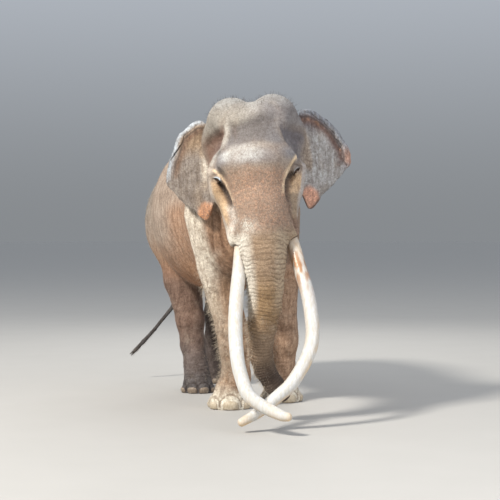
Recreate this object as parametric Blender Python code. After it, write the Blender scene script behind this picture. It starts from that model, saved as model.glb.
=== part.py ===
"""A bull Asian elephant standing still, head turned a little to its right, trunk hanging to the
ground and long tusks that cross in front of it. Metres, +Z up, the animal faces -Y."""
import math

import bmesh
import bpy
import numpy as np
from mathutils import Matrix, Vector

# ---------------------------------------------------------------- driving dimensions
FORELEG_STEP = 0.38  # the left forefoot stands this far behind the right one
HINDLEG_STEP = 0.84
HEAD_AT = (-0.091, -0.877, 2.200)  # the point midway between the eyes
HEAD_YAW = -14.0
HEAD_ROLL = -5.0
EYE_SPOTS = {-1: (-0.357, 0.010), 1: (0.352, 0.034)}  # out and up, in the head's frame
EYE_SUNK = 0.75  # how much of its radius lies under the smooth flesh
EYE_RADIUS = 0.026
EAR_THICKNESS = 0.020
NAIL_SWELL = 0.026  # how thick a toenail's lobe is, from its middle
NAIL_RISE = 0.045
NAIL_HEIGHT = 0.055
NAIL_BED = 0.012
ANKLE_CUT = 0.235
KNEE_RISE = 0.06
TRUNK_RINGS = 4
GAP = 0.0003
FIELD_VOXEL = 0.034
FLESH_TRIANGLES = 2860
EAR_TRIANGLES = 300

HEAD_TURN = Matrix.Rotation(math.radians(HEAD_YAW), 3, "Z") @ Matrix.Rotation(
    math.radians(HEAD_ROLL), 3, "Y"
)
HEAD_BASIS = np.array(HEAD_TURN)
HEAD_ORIGIN = np.array(HEAD_AT)

for old in list(bpy.data.objects):
    bpy.data.objects.remove(old, do_unlink=True)

# ---------------------------------------------------------------- the flesh as one smooth form
# limb: a tapered round bar from a to b; lump: an ellipsoid. Each blends into what precedes it
# over the given distance. "head" forms are given from the point midway between the eyes.
CENTRE, BOTH = (0,), (-1, 1)


def limb(a, b, ra, rb, blend=0.10, sides=CENTRE, wide=1.0):
    return ("limb", a, b, ra, rb, blend, sides, wide)


def lump(at, radii, blend=0.10, sides=CENTRE, tilt=0.0):
    return ("lump", at, radii, tilt, 0.0, blend, sides, 1.0)


TORSO = [
    lump((0, 1.18, 1.93), (0.685, 1.10, 0.83), 0.10),
    lump((0, 0.10, 1.90), (0.47, 0.57, 0.65), 0.32),
    lump((0.25, 0.14, 1.91), (0.275, 0.40, 0.57), 0.12, BOTH, 6.0),
    lump((0, 1.98, 1.92), (0.48, 0.52, 0.66), 0.30),
    lump((0.285, 2.04, 1.83), (0.352, 0.46, 0.51), 0.15, BOTH),
    limb((0, -0.05, 2.28), (0, 0.62, 2.43), 0.32, 0.32, 0.25),
    limb((0, 0.55, 2.58), (0, 1.15, 2.65), 0.11, 0.11, 0.20),
    limb((0, 1.15, 2.65), (0, 1.95, 2.42), 0.11, 0.12, 0.20),
    limb((0, 1.95, 2.42), (0, 2.42, 2.04), 0.16, 0.10, 0.20),
    limb((0.25, 1.72, 2.38), (0.20, 2.26, 2.12), 0.13, 0.13, 0.16, BOTH),
    limb((0, -0.26, 1.60), (0, 0.62, 1.32), 0.19, 0.21, 0.24),
]
NECK = [
    limb((-0.01, -0.55, 2.20), (0, 0.02, 2.12), 0.36, 0.44, 0.24),
    limb((0.0, -0.48, 2.33), (0, 0.02, 2.33), 0.24, 0.28, 0.20),
    limb((-0.02, -0.56, 1.90), (0.0, -0.10, 1.72), 0.24, 0.30, 0.22),
]
HEAD = [
    lump((0, 0.27, 0.16), (0.42, 0.42, 0.50), 0.16),
    lump((0.185, 0.17, 0.43), (0.255, 0.32, 0.315), 0.05, BOTH),
    lump((0.25, 0.34, 0.36), (0.235, 0.26, 0.27), 0.08, BOTH),
    limb((0, -0.05, 0.44), (0, -0.15, 0.12), 0.22, 0.22, 0.12, wide=1.25),
    lump((0, -0.10, 0.17), (0.37, 0.245, 0.15), 0.10),
    limb((0.24, 0.03, 0.16), (0.37, 0.06, 0.10), 0.105, 0.085, 0.06, BOTH),
    lump((0.345, 0.10, -0.03), (0.105, 0.17, 0.15), 0.06, BOTH),
    limb((0.265, 0.12, -0.08), (0.178, 0.15, -0.42), 0.142, 0.138, 0.08, BOTH),
    limb((0, -0.12, 0.10), (0, -0.19, -0.30), 0.27, 0.235, 0.12),
    limb((0, -0.19, -0.30), (-0.005, -0.25, -0.56), 0.235, 0.205, 0.10),
    limb((0.23, -0.02, -0.22), (0.215, -0.15, -0.50), 0.115, 0.105, 0.09, BOTH),
]
JAW = [
    limb((0.155, 0.20, -0.40), (0.05, -0.08, -0.70), 0.135, 0.085, 0.12, BOTH),
    limb((0, -0.06, -0.66), (0, -0.17, -0.76), 0.10, 0.055, 0.08),
]
TRUNK_PATH = [
    (-0.005, -0.25, -0.56, 0.205),
    (-0.008, -0.285, -0.69, 0.196),
    (-0.010, -0.300, -0.806, 0.178),
    (-0.018, -0.300, -0.972, 0.158),
    (-0.036, -0.290, -1.139, 0.143),
    (-0.074, -0.265, -1.306, 0.127),
    (-0.100, -0.225, -1.460, 0.108),
    (-0.107, -0.170, -1.599, 0.098),
    (-0.085, -0.120, -1.724, 0.093),
    (-0.015, -0.075, -1.868, 0.087),
    (0.048, -0.045, -1.955, 0.078),
]
TRUNK = [
    limb(a[:3], b[:3], a[3], b[3], 0.03) for a, b in zip(TRUNK_PATH, TRUNK_PATH[1:])
]

LEGS = {
    # side, foot y, foot x, foot radius, then the joints from the top down as (x, y, z, radius)
    "front_right": (-1, 0.05, 0.135, 0.198, [
        (0.335, 0.08, 1.90, 0.25), (0.258, 0.14, 1.40, 0.188), (0.104, 0.05, 0.74, 0.150),
        (0.085, 0.03, 0.62, 0.150), (0.068, 0.06, 0.30, 0.134), (0.110, 0.06, 0.16, 0.160)]),
    "front_left": (1, 0.05 + FORELEG_STEP, 0.490, 0.198, [
        (0.32, 0.12, 1.88, 0.24), (0.440, 0.32, 1.36, 0.195), (0.492, 0.40, 0.74, 0.150),
        (0.492, 0.39, 0.62, 0.152), (0.495, 0.44, 0.30, 0.136), (0.492, 0.44, 0.16, 0.163)]),
    "hind_right": (-1, 1.36, 0.184, 0.168, [
        (0.27, 1.96, 1.80, 0.31), (0.268, 1.74, 1.20, 0.205), (0.222, 1.58, 0.76, 0.147),
        (0.200, 1.55, 0.50, 0.127), (0.190, 1.43, 0.28, 0.121), (0.188, 1.37, 0.15, 0.139)]),
    "hind_left": (1, 1.36 + HINDLEG_STEP, 0.212, 0.172, [
        (0.27, 2.00, 1.80, 0.31), (0.275, 2.03, 1.18, 0.235), (0.236, 2.18, 0.80, 0.166),
        (0.225, 2.27, 0.50, 0.130), (0.215, 2.23, 0.28, 0.124), (0.212, 2.21, 0.15, 0.142)]),
}


def leg_forms(side, foot_y, foot_x, foot_radius, joints):
    forms = []
    for a, b in zip(joints, joints[1:]):
        forms.append(limb((side * a[0], *a[1:3]), (side * b[0], *b[1:3]), a[3], b[3], 0.06))
    last = joints[-1]
    sole = (side * foot_x, foot_y - 0.005, 0.055)
    forms.append(limb((side * last[0], *last[1:3]), sole, last[3], foot_radius, 0.04))
    return forms


def mirrored(form):
    """The form's copies, one for each side it is on."""
    kind, a, b, c, d, blend, sides, wide = form
    for side in sides:
        s = side or 1
        at = (a[0] * s, a[1], a[2])
        end = (b[0] * s, b[1], b[2]) if kind == "limb" else b
        yield kind, at, end, (c * s if kind == "lump" else c), d, blend, wide


def distance(points, form):
    """Signed distance from each point to one form, negative inside."""
    kind, a, b, c, d, _, wide = form
    stretch = np.array([1.0 / wide, 1.0, 1.0])
    a = np.array(a) * stretch
    if kind == "limb":
        b = np.array(b) * stretch
        axis = b - a
        away = points * stretch - a
        along = np.clip(away @ axis / (axis @ axis), 0.0, 1.0)
        return np.linalg.norm(away - along[:, None] * axis, axis=1) - (c + (d - c) * along)
    turn = np.array(Matrix.Rotation(math.radians(c), 3, "Y"))
    away = (points - a) @ turn
    radii = np.array(b)
    near = np.linalg.norm(away / radii, axis=1)
    slope = np.linalg.norm(away / radii**2, axis=1)
    return near * (near - 1.0) / np.maximum(slope, 1e-9)


def blended(a, b, reach):
    lean = np.maximum(reach - np.abs(a - b), 0.0) / reach
    return np.minimum(a, b) - lean * lean * reach * 0.25


def carved(a, hollow, reach):
    """The form a with a hollow pressed into it."""
    lean = np.maximum(reach - np.abs(a + hollow), 0.0) / reach
    return np.maximum(a, -hollow) + lean * lean * reach * 0.25


HOLLOWS = [  # pressed into the head: at, radii, softness
    ((0.435, -0.01, 0.34), (0.105, 0.15, 0.20), 0.10),
    ((0.0, 0.10, 0.86), (0.10, 0.45, 0.13), 0.08),
    ((0.33, -0.16, -0.09), (0.055, 0.09, 0.17), 0.07),
]


def to_head(points):
    return (points - HEAD_ORIGIN) @ HEAD_BASIS


def from_head(points):
    return np.asarray(points) @ HEAD_BASIS.T + HEAD_ORIGIN


def flesh_distance(points):
    """Signed distance from each point to the whole fleshy body without the ears and the tail."""
    field = np.full(len(points), 9.0)
    for form in TORSO + NECK:
        for one in mirrored(form):
            field = blended(field, distance(points, one), one[5])
    inside = to_head(points)
    head = np.full(len(points), 9.0)
    for form in HEAD:
        for one in mirrored(form):
            head = blended(head, distance(inside, one), one[5])
    for at, radii, reach in HOLLOWS:
        for side in (BOTH if at[0] else CENTRE):
            form = ("lump", (at[0] * (side or 1), *at[1:]), radii, 0.0, 0.0, 0.0, 1.0)
            head = carved(head, distance(inside, form), reach)
    for form in JAW + TRUNK:
        for one in mirrored(form):
            head = blended(head, distance(inside, one), one[5])
    field = blended(field, head, 0.10)
    for leg in LEGS.values():
        whole = np.full(len(points), 9.0)
        for form in leg_forms(*leg):
            for one in mirrored(form):
                whole = blended(whole, distance(points, one), one[5])
        field = blended(field, whole, 0.10)
    return field


# ---------------------------------------------------------------- mesh helpers
MATERIALS = {
    "hide": (0.30, 0.235, 0.185, 0.85),
    "face_hide": (0.42, 0.27, 0.20, 0.85),
    "ear_hide": (0.33, 0.25, 0.21, 0.85),
    "ivory": (0.82, 0.74, 0.58, 0.35),
    "eye": (0.05, 0.03, 0.02, 0.10),
    "nail": (0.60, 0.52, 0.42, 0.55),
    "tail_tuft": (0.04, 0.035, 0.03, 0.70),
}


def material(name):
    found = bpy.data.materials.get(name)
    if found:
        return found
    made = bpy.data.materials.new(name)
    made.use_nodes = True
    red, green, blue, rough = MATERIALS[name]
    shader = made.node_tree.nodes["Principled BSDF"]
    shader.inputs["Base Color"].default_value = (red, green, blue, 1.0)
    shader.inputs["Roughness"].default_value = rough
    return made


def new_object(name, mesh_source, look="hide"):
    mesh = bpy.data.meshes.new(name)
    mesh_source.to_mesh(mesh)
    mesh_source.free()
    made = bpy.data.objects.new(name, mesh)
    bpy.context.scene.collection.objects.link(made)
    mesh.materials.append(material(look))
    return made


def edited(obj):
    made = bmesh.new()
    made.from_mesh(obj.data)
    return made


def put_back(made, obj):
    made.to_mesh(obj.data)
    made.free()


def apply(obj, kind, **settings):
    modifier = obj.modifiers.new(kind.title(), kind)
    for key, value in settings.items():
        setattr(modifier, key, value)
    graph = bpy.context.evaluated_depsgraph_get()
    mesh = bpy.data.meshes.new_from_object(obj.evaluated_get(graph))
    obj.modifiers.clear()
    old, obj.data = obj.data, mesh
    bpy.data.meshes.remove(old)


def boolean(obj, cutter, operation):
    apply(obj, "BOOLEAN", object=cutter, operation=operation, solver="EXACT")


def copy_of(obj, name):
    made = obj.copy()
    made.data = obj.data.copy()
    made.name = name
    bpy.context.scene.collection.objects.link(made)
    return made


def grown(obj, name, by):
    """A copy with its surface moved out by this much, to cut a neighbour back from it."""
    made = copy_of(obj, name)
    shape = edited(made)
    shape.normal_update()
    moved = [v.co + v.normal * by for v in shape.verts]
    for vertex, place in zip(shape.verts, moved):
        vertex.co = place
    put_back(shape, made)
    return made


def discard(*objects):
    for obj in objects:
        bpy.data.objects.remove(obj, do_unlink=True)


def loft(rings, cap=True):
    """A closed body through rings that all hold the same number of points."""
    made = bmesh.new()
    rows = [[made.verts.new(p) for p in ring] for ring in rings]
    count = len(rows[0])
    for low, high in zip(rows, rows[1:]):
        for i in range(count):
            j = (i + 1) % count
            made.faces.new((low[i], low[j], high[j], high[i]))
    if cap:
        for row in (rows[0], rows[-1]):
            middle = made.verts.new(sum((v.co for v in row), Vector()) / count)
            for i in range(count):
                made.faces.new((row[i], row[(i + 1) % count], middle))
    bmesh.ops.recalc_face_normals(made, faces=made.faces)
    return made


def smooth_path(knots, steps):
    """Points along a Catmull-Rom curve through knots of any width."""
    knots = np.array(knots, float)
    padded = np.vstack([2 * knots[0] - knots[1], knots, 2 * knots[-1] - knots[-2]])
    out = []
    spans = len(knots) - 1
    for i in range(steps + 1):
        place = min(i * spans / steps, spans - 1e-9)
        k = int(place)
        t = place - k
        a, b, c, d = padded[k : k + 4]
        out.append(
            0.5 * (2 * b + (c - a) * t + (2 * a - 5 * b + 4 * c - d) * t**2
                   + (3 * b - a - 3 * c + d) * t**3)
        )
    return np.array(out)


def tube_rings(path, sides, squash=1.0):
    """Rings about a path whose rows are x, y, z, radius."""
    rings = []
    centres = path[:, :3]
    ways = np.gradient(centres, axis=0)
    side = Vector((1, 0, 0))
    for centre, way, radius in zip(centres, ways, path[:, 3]):
        way = Vector(way).normalized()
        side = (side - way * side.dot(way)).normalized()
        other = way.cross(side)
        rings.append([
            Vector(centre)
            + side * (radius * math.cos(2 * math.pi * i / sides))
            + other * (radius * squash * math.sin(2 * math.pi * i / sides))
            for i in range(sides)
        ])
    return rings


def cut_flat(shape, point, normal):
    """Cuts away what lies behind a plane and closes the mesh with a flat face."""
    everything = shape.verts[:] + shape.edges[:] + shape.faces[:]
    bmesh.ops.bisect_plane(
        shape, geom=everything, dist=1e-6, plane_co=point, plane_no=normal, clear_inner=True
    )
    edges = [edge for edge in shape.edges if edge.is_boundary]
    bmesh.ops.holes_fill(shape, edges=edges, sides=0)
    bmesh.ops.triangulate(shape, faces=shape.faces)
    bmesh.ops.recalc_face_normals(shape, faces=shape.faces)


def bisected(obj, name, point, normal, keep_front):
    """A copy of what lies on one side of a plane, set back from it by half the gap."""
    normal = Vector(normal).normalized() * (1 if keep_front else -1)
    made = copy_of(obj, name)
    shape = edited(made)
    cut_flat(shape, Vector(point) + normal * GAP / 2, normal)
    put_back(shape, made)
    return made


def split(obj, front_name, back_name, point, normal):
    front = largest_piece(bisected(obj, front_name, point, normal, True))
    back = largest_piece(bisected(obj, back_name, point, normal, False))
    discard(obj)
    return front, back


# ---------------------------------------------------------------- one closed skin
def ball_template(columns, rows):
    """A unit ball as (points, faces), its poles on z."""
    points = [(0, 0, -1)]
    for j in range(1, rows):
        up = math.pi * (j / rows - 0.5)
        for i in range(columns):
            turn = 2 * math.pi * i / columns
            points.append((math.cos(up) * math.cos(turn), math.cos(up) * math.sin(turn), math.sin(up)))
    points.append((0, 0, 1))
    last = len(points) - 1
    faces = []
    for i in range(columns):
        j = (i + 1) % columns
        faces.append((0, 1 + j, 1 + i))
        for row in range(rows - 2):
            low = 1 + row * columns
            faces.append((low + i, low + j, low + columns + j, low + columns + i))
        faces.append((last, last - columns + i, last - columns + j))
    return np.array(points, float), faces


def rough_body():
    """Every form as a plain primitive, joined, as the start of the smooth skin."""
    ball, faces = ball_template(28, 17)
    points, polygons = [], []
    groups = [(TORSO + NECK, False), (HEAD + JAW + TRUNK, True)]
    groups += [(leg_forms(*leg), False) for leg in LEGS.values()]
    for forms, in_head in groups:
        for form in forms:
            for kind, a, b, c, d, _, wide in mirrored(form):
                if kind == "lump":
                    turn = np.array(Matrix.Rotation(math.radians(c), 3, "Y"))
                    shape = (ball * b) @ turn.T + a
                else:
                    axis = Vector(b) - Vector(a)
                    turn = np.array(axis.to_track_quat("Z", "Y").to_matrix())
                    upper = ball[:, 2] > 0
                    shape = ball * np.where(upper, d, c)[:, None] @ turn.T
                    shape[:, 0] *= wide
                    shape += np.where(upper[:, None], np.array(b), np.array(a))
                if in_head:
                    shape = from_head(shape)
                start = sum(len(p) for p in points)
                points.append(shape)
                polygons += [tuple(start + i for i in face) for face in faces]
    mesh = bpy.data.meshes.new("flesh")
    mesh.from_pydata(np.vstack(points).tolist(), [], polygons)
    made = bpy.data.objects.new("flesh", mesh)
    bpy.context.scene.collection.objects.link(made)
    mesh.materials.append(material("hide"))
    return made


def settle(obj, rounds):
    """Move every vertex along its normal until it lies on the smooth form."""
    mesh = obj.data
    count = len(mesh.vertices)
    for _ in range(rounds):
        place = np.empty(count * 3, np.float32)
        mesh.vertices.foreach_get("co", place)
        place = place.reshape(-1, 3).astype(float)
        normal = np.empty(count * 3, np.float32)
        mesh.vertex_normals.foreach_get("vector", normal)
        normal = normal.reshape(-1, 3).astype(float)
        push = np.clip(flesh_distance(place), -0.04, 0.04)
        place = place - normal * push[:, None]
        mesh.vertices.foreach_set("co", place.astype(np.float32).ravel())
        mesh.update()


def make_flesh():
    obj = rough_body()
    apply(obj, "REMESH", mode="VOXEL", voxel_size=FIELD_VOXEL, adaptivity=0.0)
    settle(obj, 3)
    apply(obj, "SMOOTH", factor=0.5, iterations=2)
    settle(obj, 2)
    apply(obj, "REMESH", mode="VOXEL", voxel_size=FIELD_VOXEL * 0.85, adaptivity=0.0)
    apply(obj, "SMOOTH", factor=0.5, iterations=1)
    apply(obj, "TRIANGULATE")
    apply(obj, "DECIMATE", ratio=FLESH_TRIANGLES / len(obj.data.polygons))
    shape = edited(obj)
    cut_flat(shape, (0, 0, 0), (0, 0, 1))
    put_back(shape, obj)
    return obj


# ---------------------------------------------------------------- ears, tusks, eyes, nails, tail
# Loops run from the top of the ear's root out round the free edge to the foot of its root, as
# (out from the middle of the head, up from the eyes).
EAR_EDGE = {
    "ear_right": (-1, [
        (0.455, 0.590), (0.530, 0.592), (0.646, 0.530), (0.718, 0.471), (0.761, 0.355),
        (0.817, 0.254), (0.857, 0.099), (0.843, 0.032), (0.777, -0.054), (0.695, -0.154),
        (0.607, -0.227), (0.547, -0.299), (0.497, -0.316), (0.439, -0.242), (0.424, -0.150)]),
    "ear_left": (1, [
        (0.450, 0.615), (0.564, 0.608), (0.664, 0.546), (0.738, 0.486), (0.798, 0.415),
        (0.855, 0.317), (0.900, 0.221), (0.900, 0.100), (0.835, 0.030), (0.772, -0.032),
        (0.685, -0.117), (0.600, -0.176), (0.541, -0.250), (0.457, -0.308), (0.405, -0.190)]),
}
EAR_ROOT_TOP = (0.430, 0.56)
EAR_ROOT_FOOT = (0.395, -0.14)
EAR_SWEEP = 0.72  # how far back the ear lies for each metre out
RIM_WIDTH = 0.036

TUSKS = {
    "tusk_right": [
        (-0.150, -0.075, -0.370, 0.050), (-0.175, -0.130, -0.499, 0.058),
        (-0.203, -0.190, -0.613, 0.060), (-0.230, -0.300, -0.787, 0.061),
        (-0.272, -0.420, -1.007, 0.062), (-0.308, -0.550, -1.275, 0.062),
        (-0.312, -0.690, -1.537, 0.061), (-0.291, -0.750, -1.696, 0.060),
        (-0.241, -0.820, -1.850, 0.058), (-0.124, -0.870, -1.952, 0.054),
        (0.011, -0.930, -2.027, 0.046), (0.072, -0.950, -2.045, 0.036)],
    "tusk_left": [
        (0.185, -0.070, -0.400, 0.050), (0.240, -0.130, -0.546, 0.058),
        (0.268, -0.190, -0.646, 0.060), (0.300, -0.280, -0.835, 0.061),
        (0.347, -0.370, -1.064, 0.062), (0.361, -0.450, -1.285, 0.062),
        (0.348, -0.495, -1.450, 0.061), (0.286, -0.540, -1.605, 0.060),
        (0.139, -0.590, -1.806, 0.059), (0.013, -0.610, -1.903, 0.057),
        (-0.088, -0.630, -1.971, 0.054), (-0.189, -0.665, -2.033, 0.048),
        (-0.325, -0.720, -2.088, 0.037)],
}
TAIL = [
    (0.0, 2.36, 2.12, 0.085), (0.0, 2.53, 1.98, 0.070), (-0.05, 2.64, 1.66, 0.050),
    (-0.12, 2.67, 1.25, 0.036), (-0.216, 2.66, 0.85, 0.027), (-0.43, 2.68, 0.585, 0.021),
    (-0.560, 2.69, 0.445, 0.022), (-0.650, 2.70, 0.350, 0.017), (-0.690, 2.70, 0.315, 0.008),
]
FORE_NAILS = ((-104, 0.040), (-55, 0.062), (0, 0.080), (55, 0.062), (104, 0.040))
HIND_NAILS = ((-66, 0.044), (-22, 0.056), (22, 0.056), (66, 0.044))
TOE_TURN = 10.0  # degrees that each foot points outwards


def ear_point(side, out, up, forward=0.0):
    back = 0.30 + (out - 0.44) * EAR_SWEEP - forward
    return Vector(from_head((side * out, back, up)))


def make_ear(name, flesh_cutter):
    side, edge = EAR_EDGE[name]
    stations = smooth_path(edge, 22)
    shares = np.linspace(0, 1, len(stations))
    root_line = [
        np.array(EAR_ROOT_TOP) * (1 - s) + np.array(EAR_ROOT_FOOT) * s for s in shares
    ]
    spots = (0.0, 0.22, 0.45, 0.68, 0.88, 1.0)
    made = bmesh.new()
    sheets = []
    for facing in (-0.5, 0.5):
        sheet = []
        for root, free in zip(root_line, stations):
            row = []
            for spot in spots:
                out, up = root + (free - root) * spot
                bow = 0.035 * math.sin(math.pi * spot)
                thick = EAR_THICKNESS * (1.5 - spot)
                row.append(made.verts.new(ear_point(side, out, up, bow + facing * thick)))
            sheet.append(row)
        sheets.append(sheet)
    back, front = sheets
    last = len(spots) - 1
    for i in range(len(stations) - 1):
        for j in range(last):
            for sheet in sheets:
                made.faces.new((sheet[i][j], sheet[i + 1][j], sheet[i + 1][j + 1], sheet[i][j + 1]))
        for j in (0, last):
            made.faces.new((back[i][j], back[i + 1][j], front[i + 1][j], front[i][j]))
    for i in (0, len(stations) - 1):
        for j in range(last):
            made.faces.new((back[i][j], back[i][j + 1], front[i][j + 1], front[i][j]))
    bmesh.ops.recalc_face_normals(made, faces=made.faces)
    ear = new_object(name, made, "ear_hide")

    rim_rings = []
    turned = stations[: int(len(stations) * 0.56)]
    for k, (out, up) in enumerate(turned):
        swell = math.sin(math.pi * (k + 0.5) / len(turned)) ** 0.5
        inward = (np.array(EAR_ROOT_TOP) * 0.5 + np.array(EAR_ROOT_FOOT) * 0.5) - (out, up)
        inward = inward / np.linalg.norm(inward)
        ring = []
        for i in range(8):
            turn = 2 * math.pi * i / 8
            reach = RIM_WIDTH * swell * (0.75 + math.cos(turn))
            lift = 0.014 + 0.013 * math.sin(turn)
            ring.append(ear_point(side, out + inward[0] * reach, up + inward[1] * reach, lift))
        rim_rings.append(ring)
    joined = edited(ear)
    rim = loft(rim_rings)
    scrap = bpy.data.meshes.new("rim")
    rim.to_mesh(scrap)
    rim.free()
    joined.from_mesh(scrap)
    bpy.data.meshes.remove(scrap)
    put_back(joined, ear)
    apply(ear, "REMESH", mode="VOXEL", voxel_size=0.0075, adaptivity=0.0)
    apply(ear, "SMOOTH", factor=0.5, iterations=2)
    apply(ear, "TRIANGULATE")
    apply(ear, "DECIMATE", ratio=EAR_TRIANGLES / len(ear.data.polygons))
    boolean(ear, flesh_cutter, "DIFFERENCE")
    return ear


def make_tusk(name):
    path = smooth_path(TUSKS[name], 18)
    path[:, :3] = from_head(path[:, :3])
    tip = path[-1].copy()
    way = path[-1, :3] - path[-2, :3]
    way /= np.linalg.norm(way)
    closing = [
        np.append(tip[:3] + way * tip[3] * math.sin(a), tip[3] * math.cos(a))
        for a in (0.6, 1.1)
    ]
    return new_object(name, loft(tube_rings(np.vstack([path, closing]), 9)), "ivory")


def eye_centre(side):
    """Where an eye sits: at its measured place on the face, sunk in the flesh."""
    out, up = EYE_SPOTS[side]
    low, high = -0.40, 0.15
    for _ in range(30):
        middle = (low + high) / 2
        spot = from_head([(out, middle, up)])
        if flesh_distance(spot)[0] > -EYE_SUNK * EYE_RADIUS:
            low = middle
        else:
            high = middle
    return Vector(spot[0])


def make_ball(name, centre, radii, look, turn=0.0, columns=10, rows=6):
    points, faces = ball_template(columns, rows)
    spin = np.array(Matrix.Rotation(turn, 3, "Z"))
    mesh = bpy.data.meshes.new(name)
    mesh.from_pydata((points * radii @ spin.T + np.array(centre)).tolist(), [], faces)
    made = bpy.data.objects.new(name, mesh)
    bpy.context.scene.collection.objects.link(made)
    mesh.materials.append(material(look))
    return made


def add_nails(flesh, leg_name):
    """The toenails of one foot, joined to it as blunt lobes round its front edge."""
    side, foot_y, foot_x, foot_radius, _ = LEGS[leg_name]
    centre = np.array((side * foot_x, foot_y))
    for degrees, half in FORE_NAILS if leg_name.startswith("front") else HIND_NAILS:
        turn = math.radians(degrees + side * TOE_TURN)
        outward = np.array((math.sin(turn), -math.cos(turn)))
        reaches = foot_radius - 0.050 + 0.001 * np.arange(100)
        spots = np.column_stack([centre + outward * reaches[:, None], reaches * 0 + NAIL_HEIGHT])
        bedded = flesh_distance(spots) < -NAIL_BED
        spot = spots[max(0, int(bedded.sum()) - 1)]
        nail = make_ball("nail", spot, (half * 0.9, NAIL_SWELL, NAIL_RISE), "nail", turn, 8, 4)
        boolean(flesh, nail, "UNION")
        discard(nail)


# ---------------------------------------------------------------- parting the body
def leg_sleeve(name):
    """A domed column round one leg, which parts it from the trunk of the body."""
    side, foot_y, foot_x, _, joints = LEGS[name]
    fore = name.startswith("front")
    profile = ((-0.10, 1.0), (1.20, 1.0), (1.42, 0.90), (1.58, 0.70), (1.68, 0.38))
    reach_x, reach_y = (0.36, 0.40) if fore else (0.36, 0.44)
    top = joints[1]
    rings = []
    for height, share in profile:
        down = max(0.0, min(1.0, (1.36 - height) / 1.36))
        mid_x = top[0] * (1 - down) + foot_x * down + 0.03
        mid_y = top[1] * (1 - down) + foot_y * down
        rings.append([
            Vector((
                side * mid_x + reach_x * share * math.cos(2 * math.pi * i / 14),
                mid_y + reach_y * share * math.sin(2 * math.pi * i / 14),
                height,
            ))
            for i in range(14)
        ])
    return new_object("sleeve_" + name, loft(rings))


def part_leg(flesh, name):
    sleeve = leg_sleeve(name)
    leg = copy_of(flesh, name)
    boolean(leg, sleeve, "INTERSECT")
    keep = largest_piece(leg)
    wider = grown(sleeve, "wider", GAP)
    boolean(flesh, wider, "DIFFERENCE")
    discard(sleeve, wider)
    side, foot_y, foot_x, _, joints = LEGS[name]
    knee, ankle = joints[2], joints[4]
    upper, rest = split(
        keep, name + "_upper", "rest", (side * knee[0], knee[1], knee[2] + KNEE_RISE), (0, 0.05, 1)
    )
    lower, foot = split(
        rest, name + "_lower", name + "_foot", (side * ankle[0], ankle[1], ANKLE_CUT), (0, -0.10, 1)
    )
    return upper, lower, foot


def largest_piece(obj):
    """Drops every loose scrap but the largest piece."""
    shape = edited(obj)
    left = set(shape.verts)
    pieces = []
    while left:
        stack = [left.pop()]
        piece = set(stack)
        while stack:
            for edge in stack.pop().link_edges:
                for vertex in edge.verts:
                    if vertex in left:
                        left.remove(vertex)
                        piece.add(vertex)
                        stack.append(vertex)
        pieces.append(piece)
    pieces.sort(key=len)
    scraps = [v for piece in pieces[:-1] for v in piece]
    bmesh.ops.delete(shape, geom=scraps, context="VERTS")
    put_back(shape, obj)
    return obj


flesh = make_flesh()
flesh_cutter = grown(flesh, "flesh_cutter", GAP)

for name in EAR_EDGE:
    largest_piece(make_ear(name, flesh_cutter))
tail = new_object("tail", loft(tube_rings(smooth_path(TAIL, 16), 7)))
boolean(tail, flesh_cutter, "DIFFERENCE")
discard(flesh_cutter)
tail, tuft = split(tail, "tail", "tail_tuft", (-0.50, 2.69, 0.51), (0.68, 0, 0.73))
tuft.data.materials.clear()
tuft.data.materials.append(material("tail_tuft"))
tail_base, tail = split(tail, "tail_base", "tail", (-0.05, 2.64, 1.62), (0.15, -0.2, 1))
split(tail, "tail_middle", "tail_end", (-0.20, 2.66, 0.92), (0.25, 0, 1))

for name in TUSKS:
    tusk = make_tusk(name)
    wider = grown(tusk, "wider", GAP)
    boolean(flesh, wider, "DIFFERENCE")
    discard(wider)
for side, name in ((-1, "eye_right"), (1, "eye_left")):
    spot = eye_centre(side)
    eye = make_ball(name, spot, (EYE_RADIUS,) * 3, "eye")
    socket = make_ball("socket", spot, (EYE_RADIUS + GAP * 2,) * 3, "hide")
    boolean(flesh, socket, "DIFFERENCE")
    discard(socket)

for name in LEGS:
    add_nails(flesh, name)
for name in LEGS:
    part_leg(flesh, name)


def head_spot(x, y, z):
    return tuple(from_head((x, y, z)))


def head_way(x, y, z):
    return tuple(HEAD_TURN @ Vector((x, y, z)))


torso, front = split(flesh, "torso", "front", (0, 0.02, 2.10), (0, 0.94, 0.34))
neck, front = split(front, "neck", "front", head_spot(0, 0.52, 0.15), head_way(0, 0.95, -0.22))
head, trunk = split(front, "head", "trunk", head_spot(0, -0.22, -0.62), head_way(0, 0.28, 1))
for number, (cut, way) in enumerate(
    (((-0.02, -0.30, -1.00), (0, 0.02, 1)), ((-0.09, -0.245, -1.36), (0.12, -0.20, 1)),
     ((-0.10, -0.14, -1.67), (0, -0.35, 1))), 1
):
    done, trunk = split(trunk, f"trunk_{number}", "trunk", head_spot(*cut), head_way(*way))
trunk.name = f"trunk_{TRUNK_RINGS}"
for node in [head, *(bpy.data.objects[f"trunk_{n + 1}"] for n in range(TRUNK_RINGS))]:
    node.data.materials[0] = material("face_hide")

# ---------------------------------------------------------------- the base of the model
low = Vector((9, 9, 9))
high = -low
nodes = [obj for obj in bpy.context.scene.objects if obj.type == "MESH"]
for obj in nodes:
    for vertex in obj.data.vertices:
        low = Vector(map(min, low, vertex.co))
        high = Vector(map(max, high, vertex.co))
SHIFTED = Vector((-(low.x + high.x) / 2, -(low.y + high.y) / 2, 0))
for obj in nodes:
    obj.data.transform(Matrix.Translation(SHIFTED))
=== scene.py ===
import math

import bmesh
import bpy
import numpy as np
from mathutils import Matrix, Vector


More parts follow.
